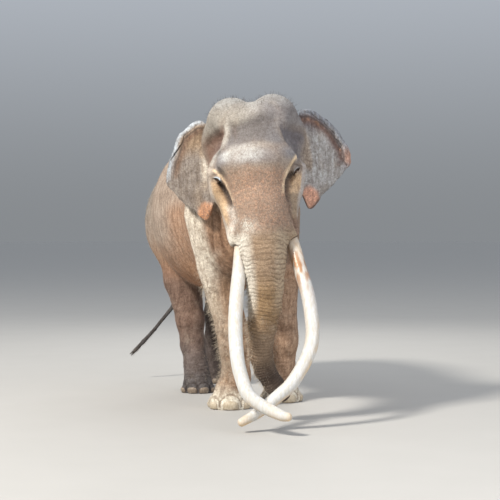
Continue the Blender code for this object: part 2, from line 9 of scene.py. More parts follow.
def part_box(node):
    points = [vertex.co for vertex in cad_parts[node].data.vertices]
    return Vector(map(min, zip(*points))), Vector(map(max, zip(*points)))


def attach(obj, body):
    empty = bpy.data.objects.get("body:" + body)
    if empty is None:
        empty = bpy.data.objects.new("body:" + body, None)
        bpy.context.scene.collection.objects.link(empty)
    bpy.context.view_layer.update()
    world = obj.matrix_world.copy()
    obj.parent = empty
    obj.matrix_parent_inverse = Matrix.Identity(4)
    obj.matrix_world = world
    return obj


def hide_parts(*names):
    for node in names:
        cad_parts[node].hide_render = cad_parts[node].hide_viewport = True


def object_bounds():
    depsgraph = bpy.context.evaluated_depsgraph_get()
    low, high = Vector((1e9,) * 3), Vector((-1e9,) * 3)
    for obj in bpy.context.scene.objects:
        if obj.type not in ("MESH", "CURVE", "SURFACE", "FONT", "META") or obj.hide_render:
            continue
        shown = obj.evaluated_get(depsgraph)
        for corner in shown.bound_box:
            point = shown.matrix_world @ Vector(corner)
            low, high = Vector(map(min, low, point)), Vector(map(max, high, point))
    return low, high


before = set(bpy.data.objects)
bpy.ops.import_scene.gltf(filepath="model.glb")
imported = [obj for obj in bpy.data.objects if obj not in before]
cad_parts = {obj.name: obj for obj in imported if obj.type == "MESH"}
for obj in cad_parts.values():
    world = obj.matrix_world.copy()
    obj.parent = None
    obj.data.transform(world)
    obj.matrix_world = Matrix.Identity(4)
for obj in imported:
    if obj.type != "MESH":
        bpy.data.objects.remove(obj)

# The looks of a still, life-size Asian bull elephant. One skin stands for all the flesh; tusks,
# eyes, toenails and hair are pieces of their own. Body metres, the animal faces -Y; everything
# is made in the body's own frame and then moved by SHIFT into the frame of the solids.
CAD_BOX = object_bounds()
RANDOM = np.random.default_rng(7)

# ---------------------------------------------------------------- the forms of the body
FORELEG_STEP = 0.38
HINDLEG_STEP = 0.84
HEAD_AT = (-0.091, -0.877, 2.200)
HEAD_YAW = -14.0
HEAD_ROLL = -5.0
EYE_SPOTS = {-1: (-0.357, 0.010), 1: (0.352, 0.034)}  # out and up, in the head's frame
EYE_SUNK = 0.75  # how much of its radius lies under the smooth flesh
EYE_RADIUS = 0.026
ROUGH_VOXEL = 0.018
SKIN_VOXEL = 0.0125
HEAD_TURN = Matrix.Rotation(math.radians(HEAD_YAW), 3, "Z") @ Matrix.Rotation(
    math.radians(HEAD_ROLL), 3, "Y"
)
HEAD_BASIS = np.array(HEAD_TURN)
HEAD_ORIGIN = np.array(HEAD_AT)
CENTRE, BOTH = (0,), (-1, 1)


def limb(a, b, ra, rb, blend=0.10, sides=CENTRE, wide=1.0):
    return ("limb", a, b, ra, rb, blend, sides, wide)


def lump(at, radii, blend=0.10, sides=CENTRE, tilt=0.0):
    return ("lump", at, radii, tilt, 0.0, blend, sides, 1.0)


TORSO = [
    lump((0, 1.18, 1.93), (0.685, 1.10, 0.83), 0.10),
    lump((0, 0.10, 1.90), (0.47, 0.57, 0.65), 0.32),
    lump((0.25, 0.14, 1.91), (0.275, 0.40, 0.57), 0.12, BOTH, 6.0),
    lump((0, 1.98, 1.92), (0.48, 0.52, 0.66), 0.30),
    lump((0.285, 2.04, 1.83), (0.352, 0.46, 0.51), 0.15, BOTH),
    limb((0, -0.05, 2.28), (0, 0.62, 2.43), 0.32, 0.32, 0.25),
    limb((0, 0.55, 2.58), (0, 1.15, 2.65), 0.11, 0.11, 0.20),
    limb((0, 1.15, 2.65), (0, 1.95, 2.42), 0.11, 0.12, 0.20),
    limb((0, 1.95, 2.42), (0, 2.42, 2.04), 0.16, 0.10, 0.20),
    limb((0.25, 1.72, 2.38), (0.20, 2.26, 2.12), 0.13, 0.13, 0.16, BOTH),
    limb((0, -0.26, 1.60), (0, 0.62, 1.32), 0.19, 0.21, 0.24),
]
NECK = [
    limb((-0.01, -0.55, 2.20), (0, 0.02, 2.12), 0.36, 0.44, 0.24),
    limb((0.0, -0.48, 2.33), (0, 0.02, 2.33), 0.24, 0.28, 0.20),
    limb((-0.02, -0.56, 1.90), (0.0, -0.10, 1.72), 0.24, 0.30, 0.22),
]
HEAD = [
    lump((0, 0.27, 0.16), (0.42, 0.42, 0.50), 0.16),
    lump((0.185, 0.17, 0.43), (0.255, 0.32, 0.315), 0.05, BOTH),
    lump((0.25, 0.34, 0.36), (0.235, 0.26, 0.27), 0.08, BOTH),
    limb((0, -0.05, 0.44), (0, -0.15, 0.12), 0.22, 0.22, 0.12, wide=1.25),
    lump((0, -0.10, 0.17), (0.37, 0.245, 0.15), 0.10),
    limb((0.24, 0.03, 0.16), (0.37, 0.06, 0.10), 0.105, 0.085, 0.06, BOTH),
    lump((0.345, 0.10, -0.03), (0.105, 0.17, 0.15), 0.06, BOTH),
    limb((0.265, 0.12, -0.08), (0.178, 0.15, -0.42), 0.142, 0.138, 0.08, BOTH),
    limb((0, -0.12, 0.10), (0, -0.19, -0.30), 0.27, 0.235, 0.12),
    limb((0, -0.19, -0.30), (-0.005, -0.25, -0.56), 0.235, 0.205, 0.10),
    limb((0.23, -0.02, -0.22), (0.215, -0.15, -0.50), 0.115, 0.105, 0.09, BOTH),
]
JAW = [
    limb((0.155, 0.20, -0.40), (0.05, -0.08, -0.70), 0.135, 0.085, 0.12, BOTH),
    limb((0, -0.06, -0.66), (0, -0.17, -0.76), 0.10, 0.055, 0.08),
]
TRUNK_PATH = [
    (-0.005, -0.25, -0.56, 0.205),
    (-0.008, -0.285, -0.69, 0.196),
    (-0.010, -0.300, -0.806, 0.178),
    (-0.018, -0.300, -0.972, 0.158),
    (-0.036, -0.290, -1.139, 0.143),
    (-0.074, -0.265, -1.306, 0.127),
    (-0.100, -0.225, -1.460, 0.108),
    (-0.107, -0.170, -1.599, 0.098),
    (-0.085, -0.120, -1.724, 0.093),
    (-0.015, -0.075, -1.868, 0.087),
    (0.048, -0.045, -1.955, 0.078),
]
TRUNK = [
    limb(a[:3], b[:3], a[3], b[3], 0.03) for a, b in zip(TRUNK_PATH, TRUNK_PATH[1:])
]
LEGS = {
    # side, foot y, foot x, foot radius, then the joints from the top down as (x, y, z, radius)
    "front_right": (-1, 0.05, 0.135, 0.198, [
        (0.335, 0.08, 1.90, 0.25), (0.258, 0.14, 1.40, 0.188), (0.104, 0.05, 0.74, 0.150),
        (0.085, 0.03, 0.62, 0.150), (0.068, 0.06, 0.30, 0.134), (0.110, 0.06, 0.16, 0.160)]),
    "front_left": (1, 0.05 + FORELEG_STEP, 0.490, 0.198, [
        (0.32, 0.12, 1.88, 0.24), (0.440, 0.32, 1.36, 0.195), (0.492, 0.40, 0.74, 0.150),
        (0.492, 0.39, 0.62, 0.152), (0.495, 0.44, 0.30, 0.136), (0.492, 0.44, 0.16, 0.163)]),
    "hind_right": (-1, 1.36, 0.184, 0.168, [
        (0.27, 1.96, 1.80, 0.31), (0.268, 1.74, 1.20, 0.205), (0.222, 1.58, 0.76, 0.147),
        (0.200, 1.55, 0.50, 0.127), (0.190, 1.43, 0.28, 0.121), (0.188, 1.37, 0.15, 0.139)]),
    "hind_left": (1, 1.36 + HINDLEG_STEP, 0.212, 0.172, [
        (0.27, 2.00, 1.80, 0.31), (0.275, 2.03, 1.18, 0.235), (0.236, 2.18, 0.80, 0.166),
        (0.225, 2.27, 0.50, 0.130), (0.215, 2.23, 0.28, 0.124), (0.212, 2.21, 0.15, 0.142)]),
}
TAIL = [
    (0.0, 2.36, 2.12, 0.085), (0.0, 2.53, 1.98, 0.070), (-0.05, 2.64, 1.66, 0.050),
    (-0.12, 2.67, 1.25, 0.036), (-0.216, 2.66, 0.85, 0.027), (-0.43, 2.68, 0.585, 0.021),
    (-0.560, 2.69, 0.445, 0.022), (-0.650, 2.70, 0.350, 0.017), (-0.690, 2.70, 0.315, 0.008),
]
HOLLOWS = [  # pressed into the head: at, radii, softness
    ((0.435, -0.01, 0.34), (0.105, 0.15, 0.20), 0.10),
    ((0.0, 0.10, 0.86), (0.10, 0.45, 0.13), 0.08),
    ((0.33, -0.16, -0.09), (0.055, 0.09, 0.17), 0.07),
]
EAR_EDGE = {
    "ear_right": (-1, [
        (0.455, 0.590), (0.530, 0.592), (0.646, 0.530), (0.718, 0.471), (0.761, 0.355),
        (0.817, 0.254), (0.857, 0.099), (0.843, 0.032), (0.777, -0.054), (0.695, -0.154),
        (0.607, -0.227), (0.547, -0.299), (0.497, -0.316), (0.439, -0.242), (0.424, -0.150)]),
    "ear_left": (1, [
        (0.450, 0.615), (0.564, 0.608), (0.664, 0.546), (0.738, 0.486), (0.798, 0.415),
        (0.855, 0.317), (0.900, 0.221), (0.900, 0.100), (0.835, 0.030), (0.772, -0.032),
        (0.685, -0.117), (0.600, -0.176), (0.541, -0.250), (0.457, -0.308), (0.405, -0.190)]),
}
EAR_ROOT_TOP = (0.430, 0.56)
EAR_ROOT_FOOT = (0.395, -0.14)
EAR_SWEEP = 0.72  # how far back the ear lies for each metre out
TUSKS = {
    "tusk_right": [
        (-0.150, -0.075, -0.370, 0.050), (-0.175, -0.130, -0.499, 0.058),
        (-0.203, -0.190, -0.613, 0.060), (-0.230, -0.300, -0.787, 0.061),
        (-0.272, -0.420, -1.007, 0.062), (-0.308, -0.550, -1.275, 0.062),
        (-0.312, -0.690, -1.537, 0.061), (-0.291, -0.750, -1.696, 0.060),
        (-0.241, -0.820, -1.850, 0.058), (-0.124, -0.870, -1.952, 0.054),
        (0.011, -0.930, -2.027, 0.046), (0.072, -0.950, -2.045, 0.036)],
    "tusk_left": [
        (0.185, -0.070, -0.400, 0.050), (0.240, -0.130, -0.546, 0.058),
        (0.268, -0.190, -0.646, 0.060), (0.300, -0.280, -0.835, 0.061),
        (0.347, -0.370, -1.064, 0.062), (0.361, -0.450, -1.285, 0.062),
        (0.348, -0.495, -1.450, 0.061), (0.286, -0.540, -1.605, 0.060),
        (0.139, -0.590, -1.806, 0.059), (0.013, -0.610, -1.903, 0.057),
        (-0.088, -0.630, -1.971, 0.054), (-0.189, -0.665, -2.033, 0.048),
        (-0.325, -0.720, -2.088, 0.037)],
}
FORE_NAILS = ((-104, 0.040), (-55, 0.062), (0, 0.080), (55, 0.062), (104, 0.040))
HIND_NAILS = ((-66, 0.044), (-22, 0.056), (22, 0.056), (66, 0.044))
TOE_TURN = 10.0  # degrees that each foot points outwards


def nails_of(leg_name):
    """Each toenail of a foot, as (degrees from straight ahead, half its width)."""
    return FORE_NAILS if leg_name.startswith("front") else HIND_NAILS


# ---------------------------------------------------------------- the distance field
def leg_forms(side, foot_y, foot_x, foot_radius, joints):
    forms = []
    for a, b in zip(joints, joints[1:]):
        forms.append(limb((side * a[0], *a[1:3]), (side * b[0], *b[1:3]), a[3], b[3], 0.06))
    last = joints[-1]
    sole = (side * foot_x, foot_y - 0.005, 0.055)
    forms.append(limb((side * last[0], *last[1:3]), sole, last[3], foot_radius, 0.04))
    return forms


def mirrored(form):
    """The form's copies, one for each side it is on."""
    kind, a, b, c, d, blend, sides, wide = form
    for side in sides:
        s = side or 1
        at = (a[0] * s, a[1], a[2])
        end = (b[0] * s, b[1], b[2]) if kind == "limb" else b
        yield kind, at, end, (c * s if kind == "lump" else c), d, blend, wide


def distance(points, form):
    """Signed distance from each point to one form, negative inside."""
    kind, a, b, c, d, _, wide = form
    stretch = np.array([1.0 / wide, 1.0, 1.0])
    a = np.array(a) * stretch
    if kind == "limb":
        b = np.array(b) * stretch
        axis = b - a
        away = points * stretch - a
        along = np.clip(away @ axis / (axis @ axis), 0.0, 1.0)
        return np.linalg.norm(away - along[:, None] * axis, axis=1) - (c + (d - c) * along)
    turn = np.array(Matrix.Rotation(math.radians(c), 3, "Y"))
    away = (points - a) @ turn
    radii = np.array(b)
    near = np.linalg.norm(away / radii, axis=1)
    slope = np.linalg.norm(away / radii**2, axis=1)
    return near * (near - 1.0) / np.maximum(slope, 1e-9)


def blended(a, b, reach):
    lean = np.maximum(reach - np.abs(a - b), 0.0) / reach
    return np.minimum(a, b) - lean * lean * reach * 0.25


def carved(a, hollow, reach):
    """The form a with a hollow pressed into it."""
    lean = np.maximum(reach - np.abs(a + hollow), 0.0) / reach
    return np.maximum(a, -hollow) + lean * lean * reach * 0.25


FAR_AWAY = 9.0
CULL = 0.08  # the field is only wanted this near the surface


def add_forms(field, points, forms):
    """Blends forms into the field, looking only at the points near each."""
    for form in forms:
        for one in mirrored(form):
            kind, a, b, c, d, reach, wide = one
            if kind == "limb":
                size = max(c, d) * wide
                low, high = np.minimum(a, b) - size, np.maximum(a, b) + size
            else:
                low, high = np.array(a) - max(b), np.array(a) + max(b)
            room = reach + CULL
            near = np.flatnonzero(((points > low - room) & (points < high + room)).all(axis=1))
            field[near] = blended(field[near], distance(points[near], one), reach)


def to_head(points):
    return (points - HEAD_ORIGIN) @ HEAD_BASIS


def from_head(points):
    return np.asarray(points) @ HEAD_BASIS.T + HEAD_ORIGIN


def flesh_distance(points, tail=True):
    """Signed distance from each point to the whole fleshy body without the ears."""
    field = np.full(len(points), FAR_AWAY)
    add_forms(field, points, TORSO + NECK)
    inside = to_head(points)
    head = np.full(len(points), FAR_AWAY)
    add_forms(head, inside, HEAD)
    for at, radii, reach in HOLLOWS:
        for side in (BOTH if at[0] else CENTRE):
            form = ("lump", (at[0] * (side or 1), *at[1:]), radii, 0.0, 0.0, 0.0, 1.0)
            head = carved(head, distance(inside, form), reach)
    add_forms(head, inside, JAW + TRUNK)
    field = blended(field, head, 0.10)
    for leg in LEGS.values():
        whole = np.full(len(points), FAR_AWAY)
        add_forms(whole, points, leg_forms(*leg))
        field = blended(field, whole, 0.10)
    if tail:
        add_forms(field, points, TAIL_FORMS)
    return field


TAIL_FORMS = [
    limb(a[:3], b[:3], a[3], b[3], 0.05 if i == 0 else 0.012)
    for i, (a, b) in enumerate(zip(TAIL, TAIL[1:]))
]


# ---------------------------------------------------------------- noise, steps and paths
def step(low, high, value):
    t = np.clip((value - low) / (high - low), 0.0, 1.0)
    return t * t * (3 - 2 * t)


def bump(centre, width, value):
    """A smooth hill of height 1 round the centre."""
    return np.exp(-(((value - centre) / width) ** 2))


def hashed(cell, seed):
    """A steady share from 0 to 1 for each whole-numbered cell."""
    h = cell[:, 0] * 374761393 + cell[:, 1] * 668265263 + cell[:, 2] * 1442695041 + seed * 974634777
    h = h & 0xFFFFFFFF
    h = ((h ^ (h >> 13)) * 1274126177) & 0xFFFFFFFF
    return ((h ^ (h >> 16)) & 0xFFFF) / 65535.0


def cloud(points, size, seed):
    """Smooth noise from -1 to 1 whose lumps are about this size. size may be a vector."""
    place = points / np.asarray(size, float)
    base = np.floor(place).astype(np.int64)
    part = place - base
    part = part * part * (3 - 2 * part)
    total = np.zeros(len(points))
    for corner in range(8):
        pick = np.array([corner & 1, corner >> 1 & 1, corner >> 2 & 1])
        weight = np.where(pick, part, 1 - part).prod(axis=1)
        total += weight * hashed(base + pick, seed)
    return total * 2 - 1


def clouds(points, size, seed, octaves=3):
    total, scale = 0.0, 1.0
    for octave in range(octaves):
        total = total + scale * cloud(points, np.asarray(size, float) / 2**octave, seed + octave)
        scale *= 0.5
    return total / (2 - 2 ** (1 - octaves))


def cracks(points, size, seed):
    """How near each point is to the border between random cells of this size: 0 on it."""
    place = points / np.asarray(size, float)
    base = np.floor(place - 0.5).astype(np.int64)
    first = np.full(len(points), 9.0)
    second = np.full(len(points), 9.0)
    for corner in range(8):
        cell = base + np.array([corner & 1, corner >> 1 & 1, corner >> 2 & 1])
        spot = np.stack([hashed(cell, seed + k) for k in range(3)], axis=1) * 0.8 + 0.1
        away = np.linalg.norm(cell + spot - place, axis=1)
        second = np.minimum(second, np.maximum(first, away))
        first = np.minimum(first, away)
    return second - first


def smooth_path(knots, steps):
    """Points along a Catmull-Rom curve through knots of any width."""
    knots = np.array(knots, float)
    padded = np.vstack([2 * knots[0] - knots[1], knots, 2 * knots[-1] - knots[-2]])
    out = []
    spans = len(knots) - 1
    for i in range(steps + 1):
        place = min(i * spans / steps, spans - 1e-9)
        k = int(place)
        t = place - k
        a, b, c, d = padded[k : k + 4]
        out.append(
            0.5 * (2 * b + (c - a) * t + (2 * a - 5 * b + 4 * c - d) * t**2
                   + (3 * b - a - 3 * c + d) * t**3)
        )
    return np.array(out)


def along(points, path):
    """For each point: the length run along the path to its nearest spot, and its offset."""
    run = np.concatenate([[0], np.cumsum(np.linalg.norm(np.diff(path, axis=0), axis=1))])
    best = np.empty(len(points), int)
    for start in range(0, len(points), 20000):
        some = points[start : start + 20000]
        gap = ((some[:, None, :] - path[None, :, :]) ** 2).sum(axis=2)
        best[start : start + 20000] = gap.argmin(axis=1)
    ways = np.gradient(path, axis=0)
    ways /= np.linalg.norm(ways, axis=1)[:, None]
    offset = points - path[best]
    extra = (offset * ways[best]).sum(axis=1)
    return run[best] + extra, offset - extra[:, None] * ways[best]


def path_gap(points, path):
    """How far each point is from a path of few knots, and its share of the way along."""
    path = np.asarray(path, float)
    best = np.full(len(points), FAR_AWAY)
    share = np.zeros(len(points))
    for i, (a, b) in enumerate(zip(path, path[1:])):
        axis = b - a
        t = np.clip((points - a) @ axis / (axis @ axis), 0, 1)
        gap = np.linalg.norm(points - a - t[:, None] * axis, axis=1)
        closer = gap < best
        best = np.where(closer, gap, best)
        share = np.where(closer, (i + t) / (len(path) - 1), share)
    return best, share


# ---------------------------------------------------------------- meshes as arrays
def unit(rows):
    return rows / np.maximum(np.linalg.norm(rows, axis=-1, keepdims=True), 1e-12)


def arrays_of(obj):
    """(points, triangles) of an object's mesh."""
    mesh = obj.data
    mesh.calc_loop_triangles()
    points = np.empty(len(mesh.vertices) * 3, np.float32)
    mesh.vertices.foreach_get("co", points)
    faces = np.empty(len(mesh.loop_triangles) * 3, np.int32)
    mesh.loop_triangles.foreach_get("vertices", faces)
    return points.reshape(-1, 3).astype(float), faces.reshape(-1, 3).astype(np.int64)


def mesh_object(name, points, faces, smooth=True):
    """An object from points and faces, all of which hold the same number of corners."""
    faces = np.asarray(faces, np.int32)
    corners = faces.shape[1]
    mesh = bpy.data.meshes.new(name)
    mesh.vertices.add(len(points))
    mesh.vertices.foreach_set("co", np.asarray(points, np.float32).ravel())
    mesh.loops.add(faces.size)
    mesh.loops.foreach_set("vertex_index", faces.ravel())
    mesh.polygons.add(len(faces))
    mesh.polygons.foreach_set("loop_start", np.arange(0, faces.size, corners, dtype=np.int32))
    mesh.update(calc_edges=True)
    mesh.polygons.foreach_set("use_smooth", np.full(len(faces), smooth))
    return linked(name, mesh)


def linked(name, mesh):
    made = bpy.data.objects.new(name, mesh)
    bpy.context.scene.collection.objects.link(made)
    return made


def polygon_object(name, points, polygons):
    """An object from points and polygons of any numbers of corners."""
    mesh = bpy.data.meshes.new(name)
    mesh.from_pydata(points.tolist(), [], polygons)
    return linked(name, mesh)


def grid_faces(rows, columns, wrap=True):
    """Quads over a grid of points, closed round each row if wrap."""
    row, column = np.meshgrid(np.arange(rows - 1), np.arange(columns if wrap else columns - 1),
                              indexing="ij")
    row, column = row.ravel(), column.ravel()
    a, b = row * columns + column, row * columns + (column + 1) % columns
    return np.stack([a, b, b + columns, a + columns], axis=1)


def turn_outwards(obj):
    shape = bmesh.new()
    shape.from_mesh(obj.data)
    bmesh.ops.recalc_face_normals(shape, faces=shape.faces)
    shape.to_mesh(obj.data)
    shape.free()


def normals_of(points, faces):
    cross = np.cross(points[faces[:, 1]] - points[faces[:, 0]], points[faces[:, 2]] - points[faces[:, 0]])
    total = np.zeros_like(points)
    for corner in range(3):
        for k in range(3):
            total[:, k] += np.bincount(faces[:, corner], cross[:, k], len(points))
    return unit(total)


def edges_of(faces, count):
    pairs = np.concatenate([faces[:, [0, 1]], faces[:, [1, 2]], faces[:, [2, 0]]])
    pairs.sort(axis=1)
    keys = np.unique(pairs[:, 0] * count + pairs[:, 1])
    return keys // count, keys % count


def smoothed(points, faces, weight, rounds):
    """Each point moved towards the middle of its neighbours, by its weight, many times."""
    a, b = edges_of(faces, len(points))
    degree = np.bincount(a, minlength=len(points)) + np.bincount(b, minlength=len(points))
    weight = (np.ones(len(points)) * weight)[:, None]
    for _ in range(rounds):
        total = np.stack([
            np.bincount(a, points[b, k], len(points)) + np.bincount(b, points[a, k], len(points))
            for k in range(3)
        ], axis=1)
        points = points + weight * (total / degree[:, None] - points)
    return points


def refined(points, faces, chosen):
    """Splits each chosen triangle in four, and its neighbours so that no gap opens."""
    pairs = np.sort(np.stack([faces, np.roll(faces, -1, axis=1)], axis=2), axis=2)
    keys, index = np.unique(pairs[:, :, 0] * len(points) + pairs[:, :, 1], return_inverse=True)
    index = index.reshape(-1, 3)
    marked = np.zeros(len(keys), bool)
    marked[index[chosen]] = True
    while True:
        two = marked[index].sum(axis=1) == 2
        if not two.any():
            break
        marked[index[two]] = True
    number = np.full(len(keys), -1)
    number[marked] = len(points) + np.arange(marked.sum())
    ends = keys[marked]
    middles = (points[ends // len(points)] + points[ends % len(points)]) / 2
    count = marked[index].sum(axis=1)
    made = [faces[count == 0]]
    v, m = faces[count == 3], number[index[count == 3]]
    for tri in ((v[:, 0], m[:, 0], m[:, 2]), (v[:, 1], m[:, 1], m[:, 0]),
                (v[:, 2], m[:, 2], m[:, 1]), (m[:, 0], m[:, 1], m[:, 2])):
        made.append(np.stack(tri, axis=1))
    for k in range(3):
        which = (count == 1) & marked[index[:, k]]
        v, m = np.roll(faces[which], -k, axis=1), number[index[which, k]]
        made.append(np.stack((v[:, 0], m, v[:, 2]), axis=1))
        made.append(np.stack((m, v[:, 1], v[:, 2]), axis=1))
    return np.vstack([points, middles]), np.vstack(made)


def apply(obj, kind, **settings):
    modifier = obj.modifiers.new(kind.title(), kind)
    for key, value in settings.items():
        setattr(modifier, key, value)
    graph = bpy.context.evaluated_depsgraph_get()
    mesh = bpy.data.meshes.new_from_object(obj.evaluated_get(graph))
    obj.modifiers.clear()
    old, obj.data = obj.data, mesh
    bpy.data.meshes.remove(old)


def ball_template(columns, rows):
    """A unit ball as (points, faces), its poles on z."""
    points = [(0, 0, -1)]
    for j in range(1, rows):
        up = math.pi * (j / rows - 0.5)
        for i in range(columns):
            turn = 2 * math.pi * i / columns
            points.append((math.cos(up) * math.cos(turn), math.cos(up) * math.sin(turn), math.sin(up)))
    points.append((0, 0, 1))
    last = len(points) - 1
    faces = []
    for i in range(columns):
        j = (i + 1) % columns
        faces.append((0, 1 + j, 1 + i))
        for row in range(rows - 2):
            low = 1 + row * columns
            faces.append((low + i, low + j, low + columns + j, low + columns + i))
        faces.append((last, last - columns + i, last - columns + j))
    return np.array(points, float), faces


def rough_body():
    """Every form as a plain primitive, joined, as the start of the smooth skin."""
    ball, faces = ball_template(28, 17)
    points, polygons = [], []
    groups = [(TORSO + NECK + TAIL_FORMS, False), (HEAD + JAW + TRUNK, True)]
    groups += [(leg_forms(*leg), False) for leg in LEGS.values()]
    for forms, in_head in groups:
        for form in forms:
            for kind, a, b, c, d, _, wide in mirrored(form):
                if kind == "lump":
                    turn = np.array(Matrix.Rotation(math.radians(c), 3, "Y"))
                    shape = (ball * b) @ turn.T + a
                else:
                    axis = Vector(b) - Vector(a)
                    turn = np.array(axis.to_track_quat("Z", "Y").to_matrix())
                    upper = ball[:, 2] > 0
                    shape = ball * np.where(upper, d, c)[:, None] @ turn.T
                    shape[:, 0] *= wide
                    shape += np.where(upper[:, None], np.array(b), np.array(a))
                if in_head:
                    shape = from_head(shape)
                start = sum(len(p) for p in points)
                points.append(shape)
                polygons += [tuple(start + i for i in face) for face in faces]
    return polygon_object("skin", np.vstack(points), polygons)


def settled(points, faces, rounds, most=0.04):
    """Every point moved along its normal until it lies on the smooth form."""
    for _ in range(rounds):
        push = np.clip(flesh_distance(points), -most, most)
        points = points - normals_of(points, faces) * push[:, None]
    return points


# ---------------------------------------------------------------- the ears
EAR_STATIONS = 150
EAR_SPOTS = 44
EAR_RIM_TURN = 1.02 * math.pi
EAR_INSET = 0.075  # how far the sheet runs on inside the head
EAR_DEPTH = (0.30, 0.44)  # how far back the ear lies, at this distance out
RIM_SHARES = np.linspace(0.12, 1.0, 9)


def ear_profile(u, left):
    """Half of the rim's roll and its flap's length at the share u of the free edge."""
    if left:
        roll = 0.014 * step(0.0, 0.05, u) * (1 - step(0.50, 0.56, u)) + 0.001
        flap = (0.036 * step(0.0, 0.10, u) + 0.040 * bump(0.45, 0.06, u)) * (1 - step(0.50, 0.54, u))
    else:
        roll = 0.015 * step(0.0, 0.05, u) * (1 - step(0.28, 0.38, u)) + 0.001
        flap = 0.048 * step(0.0, 0.10, u) * (1 - step(0.22, 0.33, u))
    return roll, flap


def ear_section(span, reach, roll, flap):
    """A closed loop round the sheet's thickness, as (along the sheet, forward) from its root."""
    middle, thick = [], []
    for spot in np.linspace(-EAR_INSET / span, 1.0, EAR_SPOTS):
        shown = max(spot, 0.0)
        middle.append((reach * spot, 0.035 * math.sin(math.pi * shown)))
        thick.append(0.0065 + 0.012 * (1 - min(1, shown / 0.35)) ** 1.5
                     + 0.02 * max(0.0, -spot * span / EAR_INSET))
    for turn in RIM_SHARES * EAR_RIM_TURN:
        middle.append((reach + roll * math.sin(turn), roll * (1 - math.cos(turn))))
        thick.append(0.0060)
    for share in RIM_SHARES:
        middle.append((reach - flap * share, 2 * roll + 0.006 * share - 0.012 * share**2))
        thick.append(0.0058 - 0.0022 * share)
    middle, thick = np.array(middle), np.array(thick)
    tangent = unit(np.gradient(middle, axis=0))
    across = np.stack([-tangent[:, 1], tangent[:, 0]], axis=1) * thick[:, None]
    tip = middle[-1] + tangent[-1] * thick[-1]
    return np.vstack([middle + across, tip[None], (middle - across)[::-1]])


def ear_caps(count, around):
    """Triangles that close the first and the last loop of the ear."""
    faces = []
    for station, flip in ((0, True), (count - 1, False)):
        ring = station * around + np.arange(around)
        for j in range(around // 2):
            a, b = ring[j], ring[j + 1]
            c, d = ring[around - 1 - j], ring[max(around - 2 - j, 0)]
            for tri in ((a, b, c), (b, d, c)):
                if len(set(tri)) == 3:
                    faces.append(tri[::-1] if flip else tri)
    return np.array(faces)


def make_ear(name):
    """A closed sheet from inside the head to the free edge, whose upper rim rolls forward."""
    side, edge = EAR_EDGE[name]
    left = side > 0
    stations = smooth_path(edge, EAR_STATIONS)
    shares = np.linspace(0, 1, len(stations))
    ragged = np.stack([shares * 40, shares * 0, shares * 0], axis=1)
    notch = 0.006 * cloud(ragged, 1.0, 3) + 0.004 * cloud(ragged, 0.3, 4)
    frayed = 0.020 * cloud(ragged, 0.9, 5) + 0.010 * cloud(ragged, 0.25, 6)
    loops = []
    for k, (free, u) in enumerate(zip(stations, shares)):
        root = np.array(EAR_ROOT_TOP) * (1 - u) + np.array(EAR_ROOT_FOOT) * u
        span = np.linalg.norm(free - root)
        way = (free - root) / span
        roll, flap = ear_profile(u, left)
        torn = 0.5 + bump(0.45, 0.07, u) if left else 0.6
        flap = max(0.0, flap + frayed[k] * torn) if flap > 0.006 else flap
        reach = span - roll + notch[k] * step(0.02, 0.1, u) * (1 - step(0.93, 1.0, u))
        sheet, forward = ear_section(span, reach, roll, flap).T
        out, up = root[0] + way[0] * sheet, root[1] + way[1] * sheet
        depth = EAR_DEPTH[0] + (out - EAR_DEPTH[1]) * EAR_SWEEP - forward
        loops.append(np.stack([side * out, depth, up], axis=1))
    count, around = len(loops), len(loops[0])
    quads = grid_faces(count, around).reshape(count - 1, around, 4)
    sides = np.concatenate([quads[:, :, [0, 1, 2]], quads[:, :, [0, 2, 3]]], axis=1)
    faces = np.vstack([sides.reshape(-1, 3), ear_caps(count, around)])
    made = mesh_object(name, from_head(np.vstack(loops)), faces)
    turn_outwards(made)
    return made


# ---------------------------------------------------------------- lines on the face and the body
FACE_PATH = [(0.0, -0.16, 0.10, 0.30), (0.0, -0.18, -0.12, 0.27), (0.0, -0.19, -0.32, 0.235)]
TRUNK_LINE = smooth_path(FACE_PATH + TRUNK_PATH, 240)
TAIL_LINE = smooth_path(TAIL, 160)
# Lines on the face as it is seen from the front, as (across, up) from between the eyes.
GROOVES = [  # from the inner corner of each eye down beside the face
    [(-0.352, 0.004), (-0.338, -0.020), (-0.316, -0.062), (-0.294, -0.121), (-0.278, -0.178),
     (-0.266, -0.240)],
    [(0.332, 0.020), (0.300, -0.004), (0.272, -0.050), (0.260, -0.110), (0.257, -0.160),
     (0.262, -0.225)],
]
SHEATH_LINES = [[(-0.236, -0.250), (-0.222, -0.34), (-0.240, -0.43), (-0.246, -0.56)],
                [(0.262, -0.260), (0.262, -0.330), (0.286, -0.400), (0.300, -0.470)]]
RIDGES = {  # the outer border of the forehead on each side, as (up, out)
    -1: ((0.08, 0.45), (0.17, 0.425), (0.246, 0.375), (0.309, 0.300), (0.411, 0.252), (0.60, 0.232)),
    1: ((0.03, 0.44), (0.115, 0.400), (0.199, 0.338), (0.311, 0.258), (0.432, 0.222), (0.60, 0.215)),
}
LEDGE = ((-0.42, 0.385), (-0.32, 0.445), (-0.24, 0.485), (-0.13, 0.508), (-0.03, 0.532),
         (0.095, 0.572), (0.20, 0.560), (0.29, 0.515), (0.40, 0.44))
STRIPS = [  # painted highlight along the nose side of each eye's groove
    [(-0.385, 0.105), (-0.335, 0.052), (-0.290, -0.022), (-0.256, -0.118), (-0.243, -0.180)],
    [(0.366, 0.165), (0.312, 0.098), (0.262, 0.032), (0.222, -0.061), (0.214, -0.15)],
]
FAR_RIM = ((-0.56, 0.325), (-0.21, 0.375), (-0.06, 0.425), (0.07, 0.450), (0.15, 0.430))
HEAD_RIM = ((-0.65, -0.262), (-0.55, -0.285), (-0.47, -0.292), (-0.265, -0.388), (-0.10, -0.436),
            (0.0, -0.450), (0.13, -0.420))
